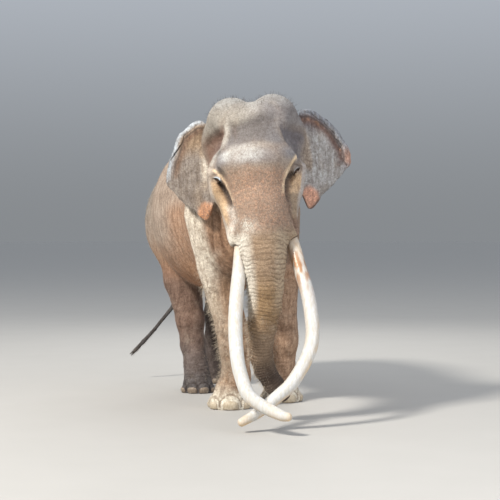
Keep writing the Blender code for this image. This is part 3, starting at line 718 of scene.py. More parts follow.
SHEATH_RIM = [(-0.262, -0.25), (-0.238, -0.36), (-0.280, -0.47), (-0.288, -0.547), (-0.267, -0.65)]
SHOULDER_EDGE = ((0.95, 0.17), (1.20, 0.15), (1.45, 0.12), (1.75, 0.09), (2.00, 0.07))
TUSK_ROOTS = [smooth_path(knots, 60)[:22, :3] for knots in TUSKS.values()]
MOUTH = [(0.26, 0.16, -0.52), (0.20, 0.03, -0.56), (0.13, -0.06, -0.60)]
TEMPLES = {  # top, its fall outwards, where it fades in, depth, the ridge's rise
    -1: (0.51, 0.52, (0.03, 0.13), 0.042, 0.013),
    1: (0.475, 0.25, (0.07, 0.19), 0.036, 0.003),
}
PLAIN_HIDE = (0.480, 0.390, 0.316)


def field_slope(point):
    """The outward direction of the fleshy surface by a point."""
    reach = 0.012
    around = np.vstack([point + reach * np.eye(3), point - reach * np.eye(3)])
    values = flesh_distance(around)
    return unit(values[:3] - values[3:])


def eye_centre(side):
    """Where an eye sits: at its place on the face, sunk in the flesh."""
    out, up = EYE_SPOTS[side]
    low, high = -0.40, 0.15
    for _ in range(30):
        middle = (low + high) / 2
        spot = from_head([(out, middle, up)])
        if flesh_distance(spot)[0] > -EYE_SUNK * EYE_RADIUS:
            low = middle
        else:
            high = middle
    return spot[0]


def node_centre(name):
    low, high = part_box(name)
    return np.array((low + high) / 2)


EYES = {side: eye_centre(side) for side in BOTH}
SHIFT = node_centre("eye_left") - EYES[1]


def eye_frame(side):
    """The directions out of an eye, along its slit towards the trunk, and up over its lid."""
    facing_out = field_slope(EYES[side])
    inner = np.array(HEAD_TURN @ Vector((-side * 0.62, -0.35, -0.52)))
    forward = unit(inner - facing_out * (inner @ facing_out))
    upward = np.cross(forward, facing_out)
    return facing_out, forward, upward if upward[2] > 0 else -upward


# ---------------------------------------------------------------- the folds of the skin
def edge_at(knots, value):
    """The second coordinate of a line of knots, at each value of its first."""
    return np.interp(value, *np.array(knots).T)


def face_gap(flat, path):
    """path_gap from points flattened onto the face to a line of (across, up)."""
    return path_gap(flat, [(across, 0, up) for across, up in path])


def group_gap(points, forms):
    """The plain distance to the nearest of some forms."""
    best = np.full(len(points), FAR_AWAY)
    for form in forms:
        for one in mirrored(form):
            best = np.minimum(best, distance(points, one))
    return best


def rings(run, spacing, warp, sharp=3):
    """Creases across a length: 1 in each crease, 0 on the rolls between them."""
    return (0.5 + 0.5 * np.cos(2 * math.pi * (run / spacing + warp))) ** sharp


class Hide:
    """The skin's points, how far each stands out, and the shares that its colours follow."""

    def __init__(self, points, faces, on_ear):
        self.points, self.faces, self.on_ear, self.fleshy = points, faces, on_ear, 1 - on_ear
        self.normal = normals_of(points, faces)
        self.inside = to_head(points)
        self.height = points[:, 2]
        self.lift, self.crease = self.blank(), self.blank()
        self.trunk_gap = group_gap(self.inside, TRUNK)
        self.head_gap = group_gap(self.inside, HEAD + JAW)
        self.headish = step(0.10, 0.0, np.minimum(self.head_gap, self.trunk_gap))
        self.head = self.headish * self.fleshy
        self.front = self.head * step(0.34, 0.16, self.inside[:, 1])
        self.facing = self.head * self.front
        self.wander = clouds(points, 0.14, 101)
        self.small = clouds(points, 0.05, 107)
        self.tone = np.tile(np.array(PLAIN_HIDE), (len(points), 1))

    def blank(self):
        return np.zeros(len(self.points))

    def lay(self, colour, share):
        """Lays a colour over the hide's own, in this share at each point."""
        self.tone += (np.array(colour) - self.tone) * np.clip(share, 0, 1)[:, None]


def fold_trunk(h):
    """Rings of folds round the trunk and the lower face, deepest at the sides."""
    _, y, z = h.inside.T
    near = np.flatnonzero((h.trunk_gap < 0.08) | ((h.head_gap < 0.06) & (y < 0.0) & (z < 0.0)))
    place = h.inside[near]
    run, offset = along(place, TRUNK_LINE[:, :3])
    span = np.linalg.norm(np.diff(TRUNK_LINE[:, :3], axis=0), axis=1).sum()
    shares = np.linspace(0, 1, 400)
    turns = np.cumsum(1 / (0.046 - 0.024 * shares)) * span / len(shares)
    phase = np.interp(np.clip(run / span, 0, 1), shares, turns)
    warp = 0.50 * cloud(place, 0.11, 21) + 0.34 * cloud(place, (0.05, 0.05, 0.07), 22)
    fold = rings(phase, 1, warp, 4)
    fine = rings(phase * 2.3, 1, warp * 1.7 + 0.3, 3)
    broken = 0.50 + 0.50 * cloud(place, (0.07, 0.07, 0.045), 23)
    beside = np.sin(np.arctan2(offset[:, 0], -offset[:, 1])) ** 2
    fade = step(-0.36, -0.66, place[:, 2]) * step(0.10, 0.0, h.trunk_gap[near])
    soft = step(-0.05, -0.45, place[:, 2]) * 0.35
    depth = (fade * (0.0030 + 0.0048 * beside) + soft * 0.002) * (0.25 + 0.75 * broken)
    h.lift[near] += depth * (0.30 - fold) * 1.15 - fade * 0.0012 * fine * broken
    h.crease[near] += np.maximum(fade, soft) * fold * (0.45 + 0.55 * broken) * (0.6 + 0.4 * beside)


def fold_legs(h):
    """Creases round the wrists, ankles and knees, and loose skin above them."""
    h.legs = h.blank()
    for number, leg in enumerate(LEGS.values()):
        weight = step(0.09, 0.01, group_gap(h.points, leg_forms(*leg))) * step(1.45, 1.10, h.height)
        h.legs = np.maximum(h.legs, weight)
        some = np.flatnonzero(weight > 0.02)
        spot = h.points[some]
        up = spot[:, 2]
        joints = leg[4]
        ankle, knee = joints[4][2], joints[2][2]
        strength = (bump(ankle, 0.13, up) + 0.8 * bump(knee + 0.02, 0.16, up)
                    + 0.35 * step(0.55, 1.2, up))
        strength = strength * (0.55 + 0.45 * cloud(spot, (0.12, 0.12, 0.07), 51 + number))
        warp = 0.6 * cloud(spot, 0.16, 31 + number) + 0.25 * cloud(spot, 0.06, 41 + number)
        fold = rings(up, 0.034 + 0.014 * step(0.5, 1.0, up), warp)
        h.lift[some] += weight[some] * strength * 0.0052 * (0.25 - fold)
        h.crease[some] += weight[some] * strength * fold * 0.8


def fold_feet(h):
    """A bulge behind each nail, folds over the toes and a hollow above them."""
    foot = h.legs * step(0.34, 0.12, h.height)
    h.lift += foot * (0.004 * bump(0.030, 0.025, h.height) - 0.005 * bump(0.165, 0.035, h.height))
    toe = h.blank()
    for name, (side, foot_y, foot_x, radius, _) in LEGS.items():
        away = h.points[:, :2] - (side * foot_x, foot_y)
        some = np.flatnonzero((foot > 0.05) & (np.linalg.norm(away, axis=1) < 0.32))
        turn = np.degrees(np.arctan2(away[some, 0], -away[some, 1]))
        up = h.height[some]
        for degrees, half in nails_of(name):
            off = (turn - degrees - side * TOE_TURN) * math.pi / 180 * radius
            toe[some] = np.maximum(toe[some], bump(0.0, half * 1.05, off) * bump(0.055, 0.062, up))
            arch = np.abs(np.hypot(off, (up - 0.03) * 0.95) - half * 1.42)
            fold = bump(0.0, 0.010, arch) * (up > 0.02)
            h.lift[some] -= 0.006 * fold
            h.crease[some] += 0.75 * fold
    h.lift += foot * 0.017 * toe


def fold_body(h):
    """Long loose folds on the neck, drapes on the flanks and a net of wrinkles."""
    points, height = h.points, h.height
    body = h.fleshy * (1 - h.headish) * (1 - h.legs)
    h.neck = h.fleshy * bump(-0.42, 0.34, points[:, 1]) * (1 - h.headish * 0.7)
    h.neck *= step(0.9, 1.3, height)
    waves = rings(points[:, 1], 0.105, 0.9 * cloud(points, 0.38, 61) + height * 1.1, 1)
    h.lift -= h.neck * 0.010 * waves**3 * (0.6 + 0.4 * cloud(points, 0.25, 62))
    h.crease += h.neck * 0.7 * waves**4
    h.lift += body * 0.007 * clouds(points, (0.30, 0.16, 0.85), 63)
    h.lift += h.fleshy * 0.0035 * clouds(points, 0.16, 66) * (1 - h.headish * 0.6)
    loose = np.clip(body * 0.55 + h.neck * 0.5 + h.legs * 0.8, 0, 1)
    shaken = points + 0.03 * cloud(points, 0.2, 68)[:, None]
    net = step(0.16, 0.0, cracks(shaken, (0.065, 0.065, 0.05), 69))
    ridged = step(0.80, 1.0, 1 - np.abs(clouds(points, (0.24, 0.10, 0.30), 72, 2)))
    for lines, depth, shade in ((net, 0.0022, 0.45), (ridged, 0.0035, 0.35)):
        h.lift -= loose * depth * lines
        h.crease += loose * shade * lines


def fold_leg_tops(h):
    """Slanting folds where each leg joins the body, and the shoulder's back edge."""
    warp = 0.7 * cloud(h.points, 0.3, 75)
    for side, _, _, _, joints in LEGS.values():
        out, back, up = joints[1][:3]
        away = h.points - (side * out, back, up + 0.05)
        near = bump(0.0, 0.24, np.linalg.norm(away * (1, 1, 0.9), axis=1)) * h.fleshy
        fold = rings(away[:, 2] + 0.45 * away[:, 1], 0.062, warp)
        h.lift += near * 0.0035 * (0.3 - fold)
        h.crease += near * fold * 0.35
    side_on, back, height = h.points.T
    h.shoulder = back - edge_at(SHOULDER_EDGE, height) - 0.20 * (side_on > 0)
    h.beside = h.fleshy * (1 - h.headish) * step(0.22, 0.38, np.abs(side_on))
    h.beside *= step(1.0, 1.25, height) * step(2.10, 1.90, height)
    edge = 0.020 * bump(-0.14, 0.10, h.shoulder) - 0.042 * bump(0.060, 0.075, h.shoulder)
    h.lift += h.beside * edge
    h.crease += h.beside * 0.35 * bump(0.030, 0.03, h.shoulder)


def shape_forehead(h):
    """A hollow temple outside a ridge on each side, and a ledge across the forehead's top."""
    x, y, z = h.inside.T
    h.lift += 0.024 * h.head * step(0.48, 0.72, z) * step(0.75, 0.45, y)
    h.lift -= 0.024 * h.head * step(0.37, 0.43, x) * bump(-0.09, 0.11, z)
    h.temple, h.beyond = h.blank(), h.blank() - 1.0
    for side, (high, fall, start, deep, proud) in TEMPLES.items():
        out = x * side - edge_at(RIDGES[side], z)
        h.beyond = np.where(x * side > 0, out, h.beyond)
        top = high - fall * (x * side - 0.25)
        within = step(top + 0.035, top - 0.085, z) * h.front * step(*start, z)
        h.lift -= deep * step(0.0, 0.060, out) * step(0.27, 0.15, out) * within
        h.lift += proud * bump(-0.010, 0.022, out) * within
        h.temple = np.maximum(h.temple, step(0.004, 0.040, out) * step(0.30, 0.2, out) * within)
    h.under = edge_at(LEDGE, x) - z
    brows = step(0.045, -0.045, h.beyond) * h.front
    h.lift -= 0.024 * step(-0.025, 0.075, h.under) * step(0.31, 0.11, h.under) * brows
    h.lift += 0.009 * bump(-0.050, 0.050, h.under) * step(0.36, 0.24, np.abs(x)) * h.front


def groove_face(h):
    """Grooves down from the eyes, sheaths round the tusks and fine lines on the brow."""
    x, y, z = h.inside.T
    h.groove, h.sheath = h.blank(), h.blank()
    facing = np.flatnonzero((y < 0.10) & (z < 0.2) & (z > -0.5) & (h.fleshy > 0.5))
    flat = h.inside[facing] * (1, 0, 1)
    for path, wide in zip(GROOVES, (0.019, 0.020)):
        gap, share = face_gap(flat, path)
        depth = step(0.0, 0.05, share) * (1 - 0.45 * step(0.80, 1.0, share))
        h.groove[facing] = np.maximum(h.groove[facing], depth * bump(0.0, wide, gap))
        h.lift[facing] += 0.006 * depth * bump(wide + 0.025, 0.015, gap)
    for path in SHEATH_LINES:
        gap, _ = face_gap(flat, path)
        h.lift[facing] -= 0.008 * bump(0.0, 0.012, gap)
        h.crease[facing] += 0.7 * bump(0.0, 0.011, gap)
    low = np.flatnonzero((z < -0.25) & (z > -0.80) & (h.headish > 0.3))
    for path in TUSK_ROOTS:
        gap, _ = path_gap(h.inside[low], path)
        h.lift[low] += 0.012 * bump(0.088, 0.020, gap) * step(-0.75, -0.55, z[low])
        h.sheath[low] = np.maximum(h.sheath[low], step(0.085, 0.064, gap))
    h.lift -= 0.033 * h.groove
    h.crease += 0.6 * h.groove + 0.9 * h.sheath
    h.lift += h.head * 0.0016 * clouds(h.inside, 0.05, 81)
    h.lift -= h.temple * 0.0025 * rings(z + 0.35 * y, 0.030, 0.8 * cloud(h.inside, 0.12, 83))
    brow = h.head * step(0.10, -0.05, y) * step(-0.05, 0.12, z) * step(0.75, 0.5, z)
    h.lift -= brow * 0.0012 * rings(z + 0.2 * np.abs(x), 0.043, cloud(h.inside, 0.2, 84))


def fold_lids(h):
    """A drooping upper fold, a rim round the slit, and rings of fine wrinkles."""
    h.slit, h.hood = h.blank(), h.blank()
    for side, centre in EYES.items():
        _, forward, upward = eye_frame(side)
        some = np.flatnonzero(np.linalg.norm(h.points - centre, axis=1) < 0.20)
        spot = h.points[some]
        p = (spot - centre) @ forward
        q = (spot - centre) @ upward + 0.10 * (p**2) / 0.03
        above, wide, ring = q > 0, np.abs(p / 0.036), np.hypot(p / 1.6, q)
        opening = step(1.15, 0.75, np.hypot(p / 0.038, q / np.where(above, 0.0095, 0.0120)))
        fan = rings(ring, 0.013, 0.4 * cloud(spot, 0.03, 87))
        lid = np.where(above, 0.0150 * bump(0.021, 0.015, ring), 0.0035 * bump(0.018, 0.011, ring))
        h.lift[some] += lid * (1 - opening) - 0.024 * opening
        h.lift[some] -= 0.0060 * bump(0.050, 0.011, ring) * step(-0.01, 0.02, q)
        h.lift[some] -= 0.0035 * bump(0.036, 0.009, ring) * step(0.008, -0.014, q)
        h.lift[some] -= 0.0013 * fan * step(0.05, 0.065, ring) * step(0.12, 0.08, ring)
        h.crease[some] += 0.6 * bump(0.050, 0.010, ring) * (wide < 2.4) * above
        h.crease[some] += 0.35 * bump(0.036, 0.007, ring) * (wide < 2.0) * ~above + opening
        h.crease[some] += 0.22 * fan * step(0.04, 0.06, ring) * step(0.11, 0.08, ring)
        hood = bump(0.019, 0.010, np.hypot(p / 1.3, q)) * above * (1 - opening)
        h.hood[some] = np.maximum(h.hood[some], hood)
        h.slit[some] = np.maximum(h.slit[some], opening)


def fold_mouth(h):
    """The lip's edge under each cheek."""
    z = h.inside[:, 2]
    low = np.flatnonzero((z < -0.35) & (z > -0.75) & (h.fleshy > 0.5))
    for side in BOTH:
        gap, _ = path_gap(h.inside[low], np.array(MOUTH) * (side, 1, 1))
        h.lift[low] += 0.006 * bump(0.030, 0.012, gap) - 0.014 * bump(0.0, 0.012, gap)
        h.crease[low] += bump(0.0, 0.014, gap)


def fold_tail(h):
    """Rings down the tail."""
    some = np.flatnonzero((group_gap(h.points, TAIL_FORMS) < 0.03) & (h.points[:, 1] > 2.40))
    run, _ = along(h.points[some], TAIL_LINE[:, :3])
    fold = rings(run, 0.030, 0.3 * cloud(h.points[some], 0.05, 91), 2)
    h.lift[some] -= 0.0020 * fold
    h.crease[some] += 0.5 * fold


def vein_ears(h):
    """Veins and shallow dents on the ears."""
    ear = h.on_ear > 0.5
    inside = h.inside[ear]
    veins = 1 - np.abs(clouds(inside, (0.16, 0.16, 0.10), 95, 2))
    h.lift[ear] += 0.0022 * step(0.82, 1.0, veins) + 0.0016 * clouds(inside, 0.05, 97)
    h.crease[ear] += 0.25 * step(0.30, 0.0, cracks(inside, 0.05, 98))


# ---------------------------------------------------------------- the colours of the skin
def body_tones(h):
    """Grey-brown sides, an orange-brown belly partly darkened by painted shade, painted shade on the
    chest, the lower hind quarters and the hind legs, painted sunlight on the near foreleg and along the
    shoulder's edge, and pale front feet that are partly dust and partly painted sunlight.
    """
    side_on, back, height = h.points.T
    right, left, out, lay, shoulder = side_on < 0, side_on > 0, h.normal[:, 0], h.lay, h.shoulder
    level = height + 0.07 * h.wander + 0.05 * cloud(h.points, (0.06, 0.06, 0.45), 109)
    ahead = step(1.25, 0.95, back)
    fore, hind = h.legs * ahead, h.legs * (1 - ahead)
    lay((0.275, 0.262, 0.232), step(1.5, 2.2, back) * step(1.6, 2.1, level))
    lay((0.430, 0.225, 0.122), step(1.70, 1.20, level))
    # Painted shade of the head on the chest.
    lay((0.320, 0.235, 0.175), step(0.25, -0.10, back) * step(2.1, 1.6, height))
    lay((0.500, 0.300, 0.180), h.neck * step(2.1, 1.8, height) * 0.8)
    # Partly the belly's own orange-brown, partly painted shade under the barrel.
    belly = bump(1.45, 0.17, height) * step(0.6, 1.2, back) * step(2.4, 2.0, back)
    lay((0.400, 0.240, 0.145), 0.5 * belly)
    # Painted shade over the lower hind quarters.
    lay((0.340, 0.215, 0.155), (1 - ahead) * step(1.45, 1.0, level))
    lay((0.400, 0.265, 0.165), fore)
    # Painted shade over the hind legs, darker downwards.
    lay((0.255, 0.170, 0.130), hind)
    lay((0.170, 0.138, 0.126), hind * step(0.75, 0.35, level))
    lay((0.500, 0.340, 0.230), fore * left)
    behind = h.beside * step(-0.01, 0.05, shoulder) * step(0.85, 0.45, shoulder) * right
    lay((0.490, 0.300, 0.190), 0.85 * behind)
    # Painted sunlight on the outer side of the near foreleg.
    lit = fore * step(0.0, 0.75, -out) * (side_on < 0.25) * step(1.6, 1.3, height)
    lay((0.540, 0.440, 0.340), 0.9 * lit * step(-0.9, 0.3, h.small))
    lay((0.830, 0.730, 0.590), lit * step(0.35, 0.80, -out) * step(0.70, 1.15, height))
    # Painted sunlight along the shoulder's edge and in a streak down the near side of the chest.
    strip = h.beside * step(0.0, -0.04, shoulder) * step(-0.34, -0.22, shoulder)
    streak = bump(-0.345, 0.035, side_on + 0.02 * h.wander) * step(0.15, 0.0, back) * ahead
    streak *= step(1.0, 1.2, height) * step(1.60, 1.40, height)
    lay((0.860, 0.790, 0.670), np.maximum(strip, streak) * right)
    # Pale front feet: partly dust, partly painted sunlight.
    lay((0.890, 0.860, 0.730), fore * step(0.26, 0.08, height + 0.03 * h.small))
    # Painted shade on the hind feet and the far hind leg, lightened on its outward faces.
    lay((0.125, 0.118, 0.120), hind * step(0.35, 0.05, height))
    lay((0.085, 0.066, 0.060), 0.9 * hind * left)
    lay((0.300, 0.235, 0.190), hind * step(0.0, 0.6, out) * left)
    lay((0.640, 0.360, 0.190), 0.7 * behind * step(1.50, 1.25, height))
    lay((0.110, 0.105, 0.105), step(1.30, 0.85, height) * (back > 2.55) * (1 - h.legs))
    h.fringe = fore * step(0.2, 0.8, -out) * step(1.5, 1.2, height)


def brow_tones(h):
    """Grey domes with painted highlight on their tops and painted shade on the far dome, a darker
    forehead that is partly painted shade, a pale patch on the brow that is partly dust and partly painted
    sunlight, painted shade in the temples, a painted highlight on the near ridge, and the pinkish face.
    """
    x, _, z = h.inside.T
    lay, facing, wander, small = h.lay, h.facing, h.wander, h.small
    lay((0.310, 0.250, 0.200), h.head)
    far = step(-0.08, 0.16, x)
    dome = h.head * step(0.36, 0.50, z + 0.02 * wander)
    lay((0.350, 0.325, 0.285), dome * (1 - far))
    # The far dome is darker and greyer: painted shade.
    lay((0.275, 0.258, 0.255), dome * far)
    # Painted highlight on the tops of the domes.
    lay((0.420, 0.420, 0.405), dome * step(0.57, 0.74, z + 0.03 * wander) * (1 - 0.25 * far))
    # The darker forehead plane: partly its own grey-blue, partly painted shade in its hollow.
    plane = facing * step(0.03, -0.04, h.beyond) * step(-0.02, 0.06, h.under)
    plane *= step(0.25, 0.33, z + 0.02 * small)
    lay((0.188, 0.170, 0.162), plane)
    brown = step(0.0, 0.6, cloud(h.inside, (0.06, 0.1, 0.3), 111))
    lay((0.175, 0.128, 0.104), plane * bump(-0.08, 0.13, x) * brown)
    # Painted shade in the temple hollows.
    lay((0.215, 0.132, 0.098), 1.3 * h.temple * (x < 0))
    lay((0.185, 0.172, 0.183), 1.2 * h.temple * (x > 0))
    lay((0.250, 0.232, 0.226), 0.7 * plane * step(0.05, 0.15, x))
    lay((0.520, 0.510, 0.480), 0.6 * dome * bump(0.02, 0.07, x) * step(0.50, 0.60, z))
    # Painted highlight along the near ridge of the forehead.
    ridge = facing * bump(-0.012, 0.020, h.beyond) * step(0.10, 0.16, z) * step(0.56, 0.44, z)
    lay((0.670, 0.630, 0.560), 0.9 * ridge * (x < 0))
    lay((0.290, 0.285, 0.300), facing * bump(0.19, 0.12, z) * step(0.44, 0.30, np.abs(x)))
    # A pale patch on the brow: partly dust, partly painted sunlight.
    bright = np.hypot((x + 0.12) / 0.19, (z - 0.215 + 0.02 * wander) / 0.085)
    lay((0.750, 0.760, 0.735), facing * step(1.35, 0.45, bright + 0.25 * small))
    lay((0.360, 0.290, 0.225), facing * bump(0.085, 0.045, z) * step(0.36, 0.28, np.abs(x)))
    h.pink = step(0.13, 0.03, z + 0.03 * wander) * step(-0.56, -0.38, z + 0.05 * wander)
    h.pink *= step(0.31, 0.24, np.abs(x + 0.012) + 0.015 * wander) * facing
    lay((0.410, 0.282, 0.196), h.pink)


def cheek_tones(h):
    """Ochre cheeks, painted sunlight along the near rim of the head and the near sheath's rim, a pale far
    rim, painted highlight in strips by the grooves, painted shade in a corner above the far tusk, and the
    lids with a painted highlight on the near upper lid.
    """
    x, y, z = h.inside.T
    lay = h.lay
    cheeks = h.facing * step(-0.52, -0.40, z) * step(0.05, -0.03, z)
    near, far = (
        cheeks * step(0.005, 0.03, side * (x - edge_at([knot[::-1] for knot in path[::-1]], z)))
        for side, path in zip(BOTH, GROOVES)
    )
    lay((0.640, 0.455, 0.285), near)
    lay((0.700, 0.510, 0.330), far * step(-0.20, -0.14, z))
    lay((0.400, 0.290, 0.200), far * step(0.1, 0.6, cloud(h.inside, (0.03, 0.1, 0.12), 115)))
    lay((0.380, 0.290, 0.200), far * step(-0.14, -0.20, z))
    # Painted sunlight along the near rim of the head.
    rim = step(0.040, 0.005, x - edge_at(HEAD_RIM, z)) * step(0.20, 0.10, z) * (x < 0)
    lay((0.560, 0.490, 0.420), rim * step(-0.60, -0.48, z) * h.facing)
    rim = step(-0.045, -0.010, x - edge_at(FAR_RIM, z)) * step(0.18, 0.08, z) * (x > 0)
    lay((0.520, 0.480, 0.450), rim * step(-0.60, -0.50, z) * h.head)
    some = np.flatnonzero((h.head > 0.2) & (z > -0.75) & (z < 0.30) & (y < 0.20))

    def beside_line(path, width):
        share = h.blank()
        share[some] = bump(0.0, width, face_gap(h.inside[some] * (1, 0, 1), path)[0])
        return share * h.head

    pale, near_strip, far_strip = (
        beside_line(path, width) for path, width in zip((SHEATH_RIM, *STRIPS), (0.034, 0.014, 0.014))
    )
    # Painted sunlight along the near sheath's rim.
    lay((0.950, 0.890, 0.800), pale)
    # Painted shade in the corner above the far tusk.
    corner = step(0.24, 0.29, x) * step(-0.34, -0.42, z) * step(-0.7, -0.6, z)
    lay((0.300, 0.205, 0.150), h.head * corner)
    # Painted highlight along the nose side of each groove.
    lay((0.940, 0.740, 0.520), near_strip)
    lay((0.940, 0.740, 0.500), far_strip)
    # Painted highlight on the near upper lid.
    lay((0.740, 0.850, 0.960), h.hood * (x < 0))
    lay((0.380, 0.370, 0.365), h.hood * (x > 0))
    h.crease *= 1 - 0.85 * np.maximum.reduce([pale, near_strip, far_strip])


def trunk_tones(h):
    """The trunk: browner downwards, dark at its end, painted sunlight along its near side and on a patch
    at its top, and painted light on its far side.
    """
    x, _, z = h.inside.T
    lay, level = h.lay, z + 0.03 * h.wander
    sideways = (h.normal @ HEAD_BASIS)[:, 0]
    trunk = h.head * (h.trunk_gap < 0.10)
    lay((0.335, 0.238, 0.154), trunk * step(-0.42, -0.56, level))
    lay((0.305, 0.200, 0.105), trunk * step(-0.80, -1.05, z))
    lay((0.290, 0.208, 0.140), trunk * step(-1.20, -1.50, z))
    lay((0.095, 0.066, 0.050), trunk * step(-1.55, -1.80, level))
    upper = trunk * step(-0.42, -0.52, z) * step(-1.30, -1.05, z)
    # Painted light on the trunk's far side.
    lay((0.470, 0.380, 0.270), 0.8 * step(0.30, 0.80, sideways) * upper)
    # Painted sunlight along the trunk's near side and on a patch at its top.
    patch = bump(0.0, 1.0, np.hypot((x + 0.13) / 0.075, (z + 0.415) / 0.065)) * h.facing
    lay((0.820, 0.790, 0.700), np.maximum(0.85 * step(0.30, 0.80, -sideways) * upper, patch))
    h.fringe = np.maximum(h.fringe, trunk * step(0.4, 0.9, -sideways) * step(-0.9, -1.1, z))


def ear_tones(h):
    """Greyer folded rims with a brown shade under them, bare pink lobes and one torn rim."""
    x, _, z = h.inside.T
    ear, near, far, out, lay = h.on_ear, x < 0, x >= 0, np.abs(x), h.lay
    spot = np.where(near, np.hypot((out - 0.492) / 0.105, (z + 0.300) / 0.150),
                    np.hypot((out - 0.478) / 0.100, (z + 0.235) / 0.150))
    lobe = step(0.30, 0.62, bump(0.0, 1.0, spot) + 0.12 * h.small) * ear
    edge_gap, edge_share = h.blank() + 1.0, h.blank()
    for side, edge in EAR_EDGE.values():
        mine = np.flatnonzero((ear > 0.3) & (x * side > 0))
        flat = h.inside[mine] * (side, 0, 1)
        edge_gap[mine], edge_share[mine] = face_gap(flat, smooth_path(edge, 90))
    roll = step(0.62, 0.50, edge_share) * np.where(near, step(0.50, 0.36, edge_share), 1.0) * ear
    shaded = roll * step(0.1, -0.2, (h.normal @ HEAD_BASIS)[:, 1])
    lay((0.350, 0.310, 0.275), ear * near)
    lay((0.530, 0.535, 0.530), ear * far)
    ochre = step(0.0, 0.6, cloud(h.inside, (0.07, 0.2, 0.14), 117)) * step(0.66, 0.50, out)
    lay((0.420, 0.300, 0.180), 0.55 * ear * ochre)
    lay((0.450, 0.335, 0.225), ear * near * step(0.22, 0.42, z))
    lay((0.260, 0.245, 0.260), ear * far * step(0.34, 0.50, z))
    lay((0.260, 0.175, 0.125), shaded * bump(0.090, 0.035, edge_gap) * near)
    lay((0.215, 0.142, 0.122), shaded * bump(0.095, 0.045, edge_gap) * far)
    lay((0.420, 0.235, 0.140), 0.8 * shaded * bump(0.080, 0.020, edge_gap) * step(0.1, 0.5, h.small))
    lay((0.680, 0.790, 0.890), 0.9 * roll * bump(0.008, 0.029, edge_gap) * near)
    lay((0.350, 0.400, 0.460), 0.8 * roll * bump(0.010, 0.036, edge_gap) * far)
    torn = ear * far * bump(0.47, 0.055, edge_share) * step(0.085, 0.03, edge_gap)
    lay((0.740, 0.470, 0.370), torn)
    lay((0.930, 0.480, 0.260), lobe * near)
    lay((1.000, 0.560, 0.400), lobe * far)
    lay((0.170, 0.125, 0.115), lobe * far * bump(0.0, 0.011, edge_gap))
    # Painted sunlight on the fold at the near ear's root.
    root = bump(0.480, 0.030, out + 0.015 * h.small) * bump(0.13, 0.13, z)
    lay((0.930, 0.870, 0.750), ear * near * root)
    h.pink = np.clip(h.pink + lobe * np.where(near, 1.0, 0.6) + 0.6 * torn, 0, 1)
    # The dark mark is painted shade in the eye grooves, round the tusk roots, in the eye slits and in a
    # line under the ear rims.
    h.dark = np.maximum.reduce([h.groove * np.where(near, 1.0, 0.72), 0.8 * h.sheath, h.slit,
                                0.75 * shaded * bump(0.066, 0.009, edge_gap)])


SCULPTING = (fold_trunk, fold_legs, fold_feet, fold_body, fold_leg_tops, shape_forehead,
             groove_face, fold_lids, fold_mouth, fold_tail, vein_ears)
COLOURING = (body_tones, brow_tones, cheek_tones, trunk_tones, ear_tones)


def put_marks(obj, marks):
    for name, values in marks.items():
        if values.ndim == 2:
            layer = obj.data.attributes.new(name, "FLOAT_COLOR", "POINT")
            values = np.column_stack([values, np.ones(len(values))])
            layer.data.foreach_set("color", values.astype(np.float32).ravel())
            continue
        layer = obj.data.attributes.new(name, "FLOAT", "POINT")
        layer.data.foreach_set("value", np.asarray(values, np.float32))


def put_in(obj, look, slot, *replaced):
    """Gives a piece its material and the nodes that it stands for; its slot is not used."""
    obj.data.materials.append(look)
    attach(obj, "root")
    if replaced:
        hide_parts(*replaced)


def ear_share(points):
    """1 on the ears, 0 on the flesh, from how far a point lies off the fleshy form."""
    inside = to_head(points)
    beside = (np.abs(inside[:, 0]) > 0.36) & (inside[:, 2] > -0.40) & (inside[:, 2] < 0.72)
    beside &= (inside[:, 1] > 0.10) & (inside[:, 1] < 0.85)
    share = np.zeros(len(points))
    some = np.flatnonzero(beside)
    share[some] = step(0.003, 0.014, flesh_distance(points[some], False))
    return share


def remeshed(body, voxel, rounds):
    """The (points, triangles) of a body remade at one voxel size and settled on the form."""
    apply(body, "REMESH", mode="VOXEL", voxel_size=voxel, adaptivity=0.0)
    points, faces = arrays_of(body)
    bpy.data.objects.remove(body)
    return settled(points, faces, rounds), faces


def plain_skin():
    """The (points, triangles) of the smooth flesh with the ears joined to it."""
    points, faces = remeshed(rough_body(), ROUGH_VOXEL, 3)
    points = settled(smoothed(points, faces, 0.5, 2), faces, 2)
    points, faces = remeshed(mesh_object("skin", points, faces), SKIN_VOXEL, 2)
    body = mesh_object("skin", points, faces)
    for name in EAR_EDGE:
        ear = make_ear(name)
        apply(body, "BOOLEAN", object=ear, operation="UNION", solver="MANIFOLD")
        bpy.data.objects.remove(ear)
    points, faces = arrays_of(body)
    bpy.data.objects.remove(body)
    return points, faces


def finer_skin(points, faces):
    """Splits the triangles of the face, the feet, the tail's end and the eyes."""
    middle = to_head(points)[faces].mean(axis=1)
    _, back, height = points[faces].mean(axis=1).T
    off = np.abs(flesh_distance(points)[faces]).max(axis=1)
    on_ear = (off > 0.012) & (middle[:, 2] > -0.45)
    fine = (((middle[:, 1] < 0.12) | (height < 0.26)) & ~on_ear) | (back > 2.46)
    points, faces = refined(points, faces, fine)
    for centre in EYES.values():
        near = np.linalg.norm(points[faces].mean(axis=1) - centre, axis=1) < 0.125
        points, faces = refined(points, faces, near)
    return points, faces


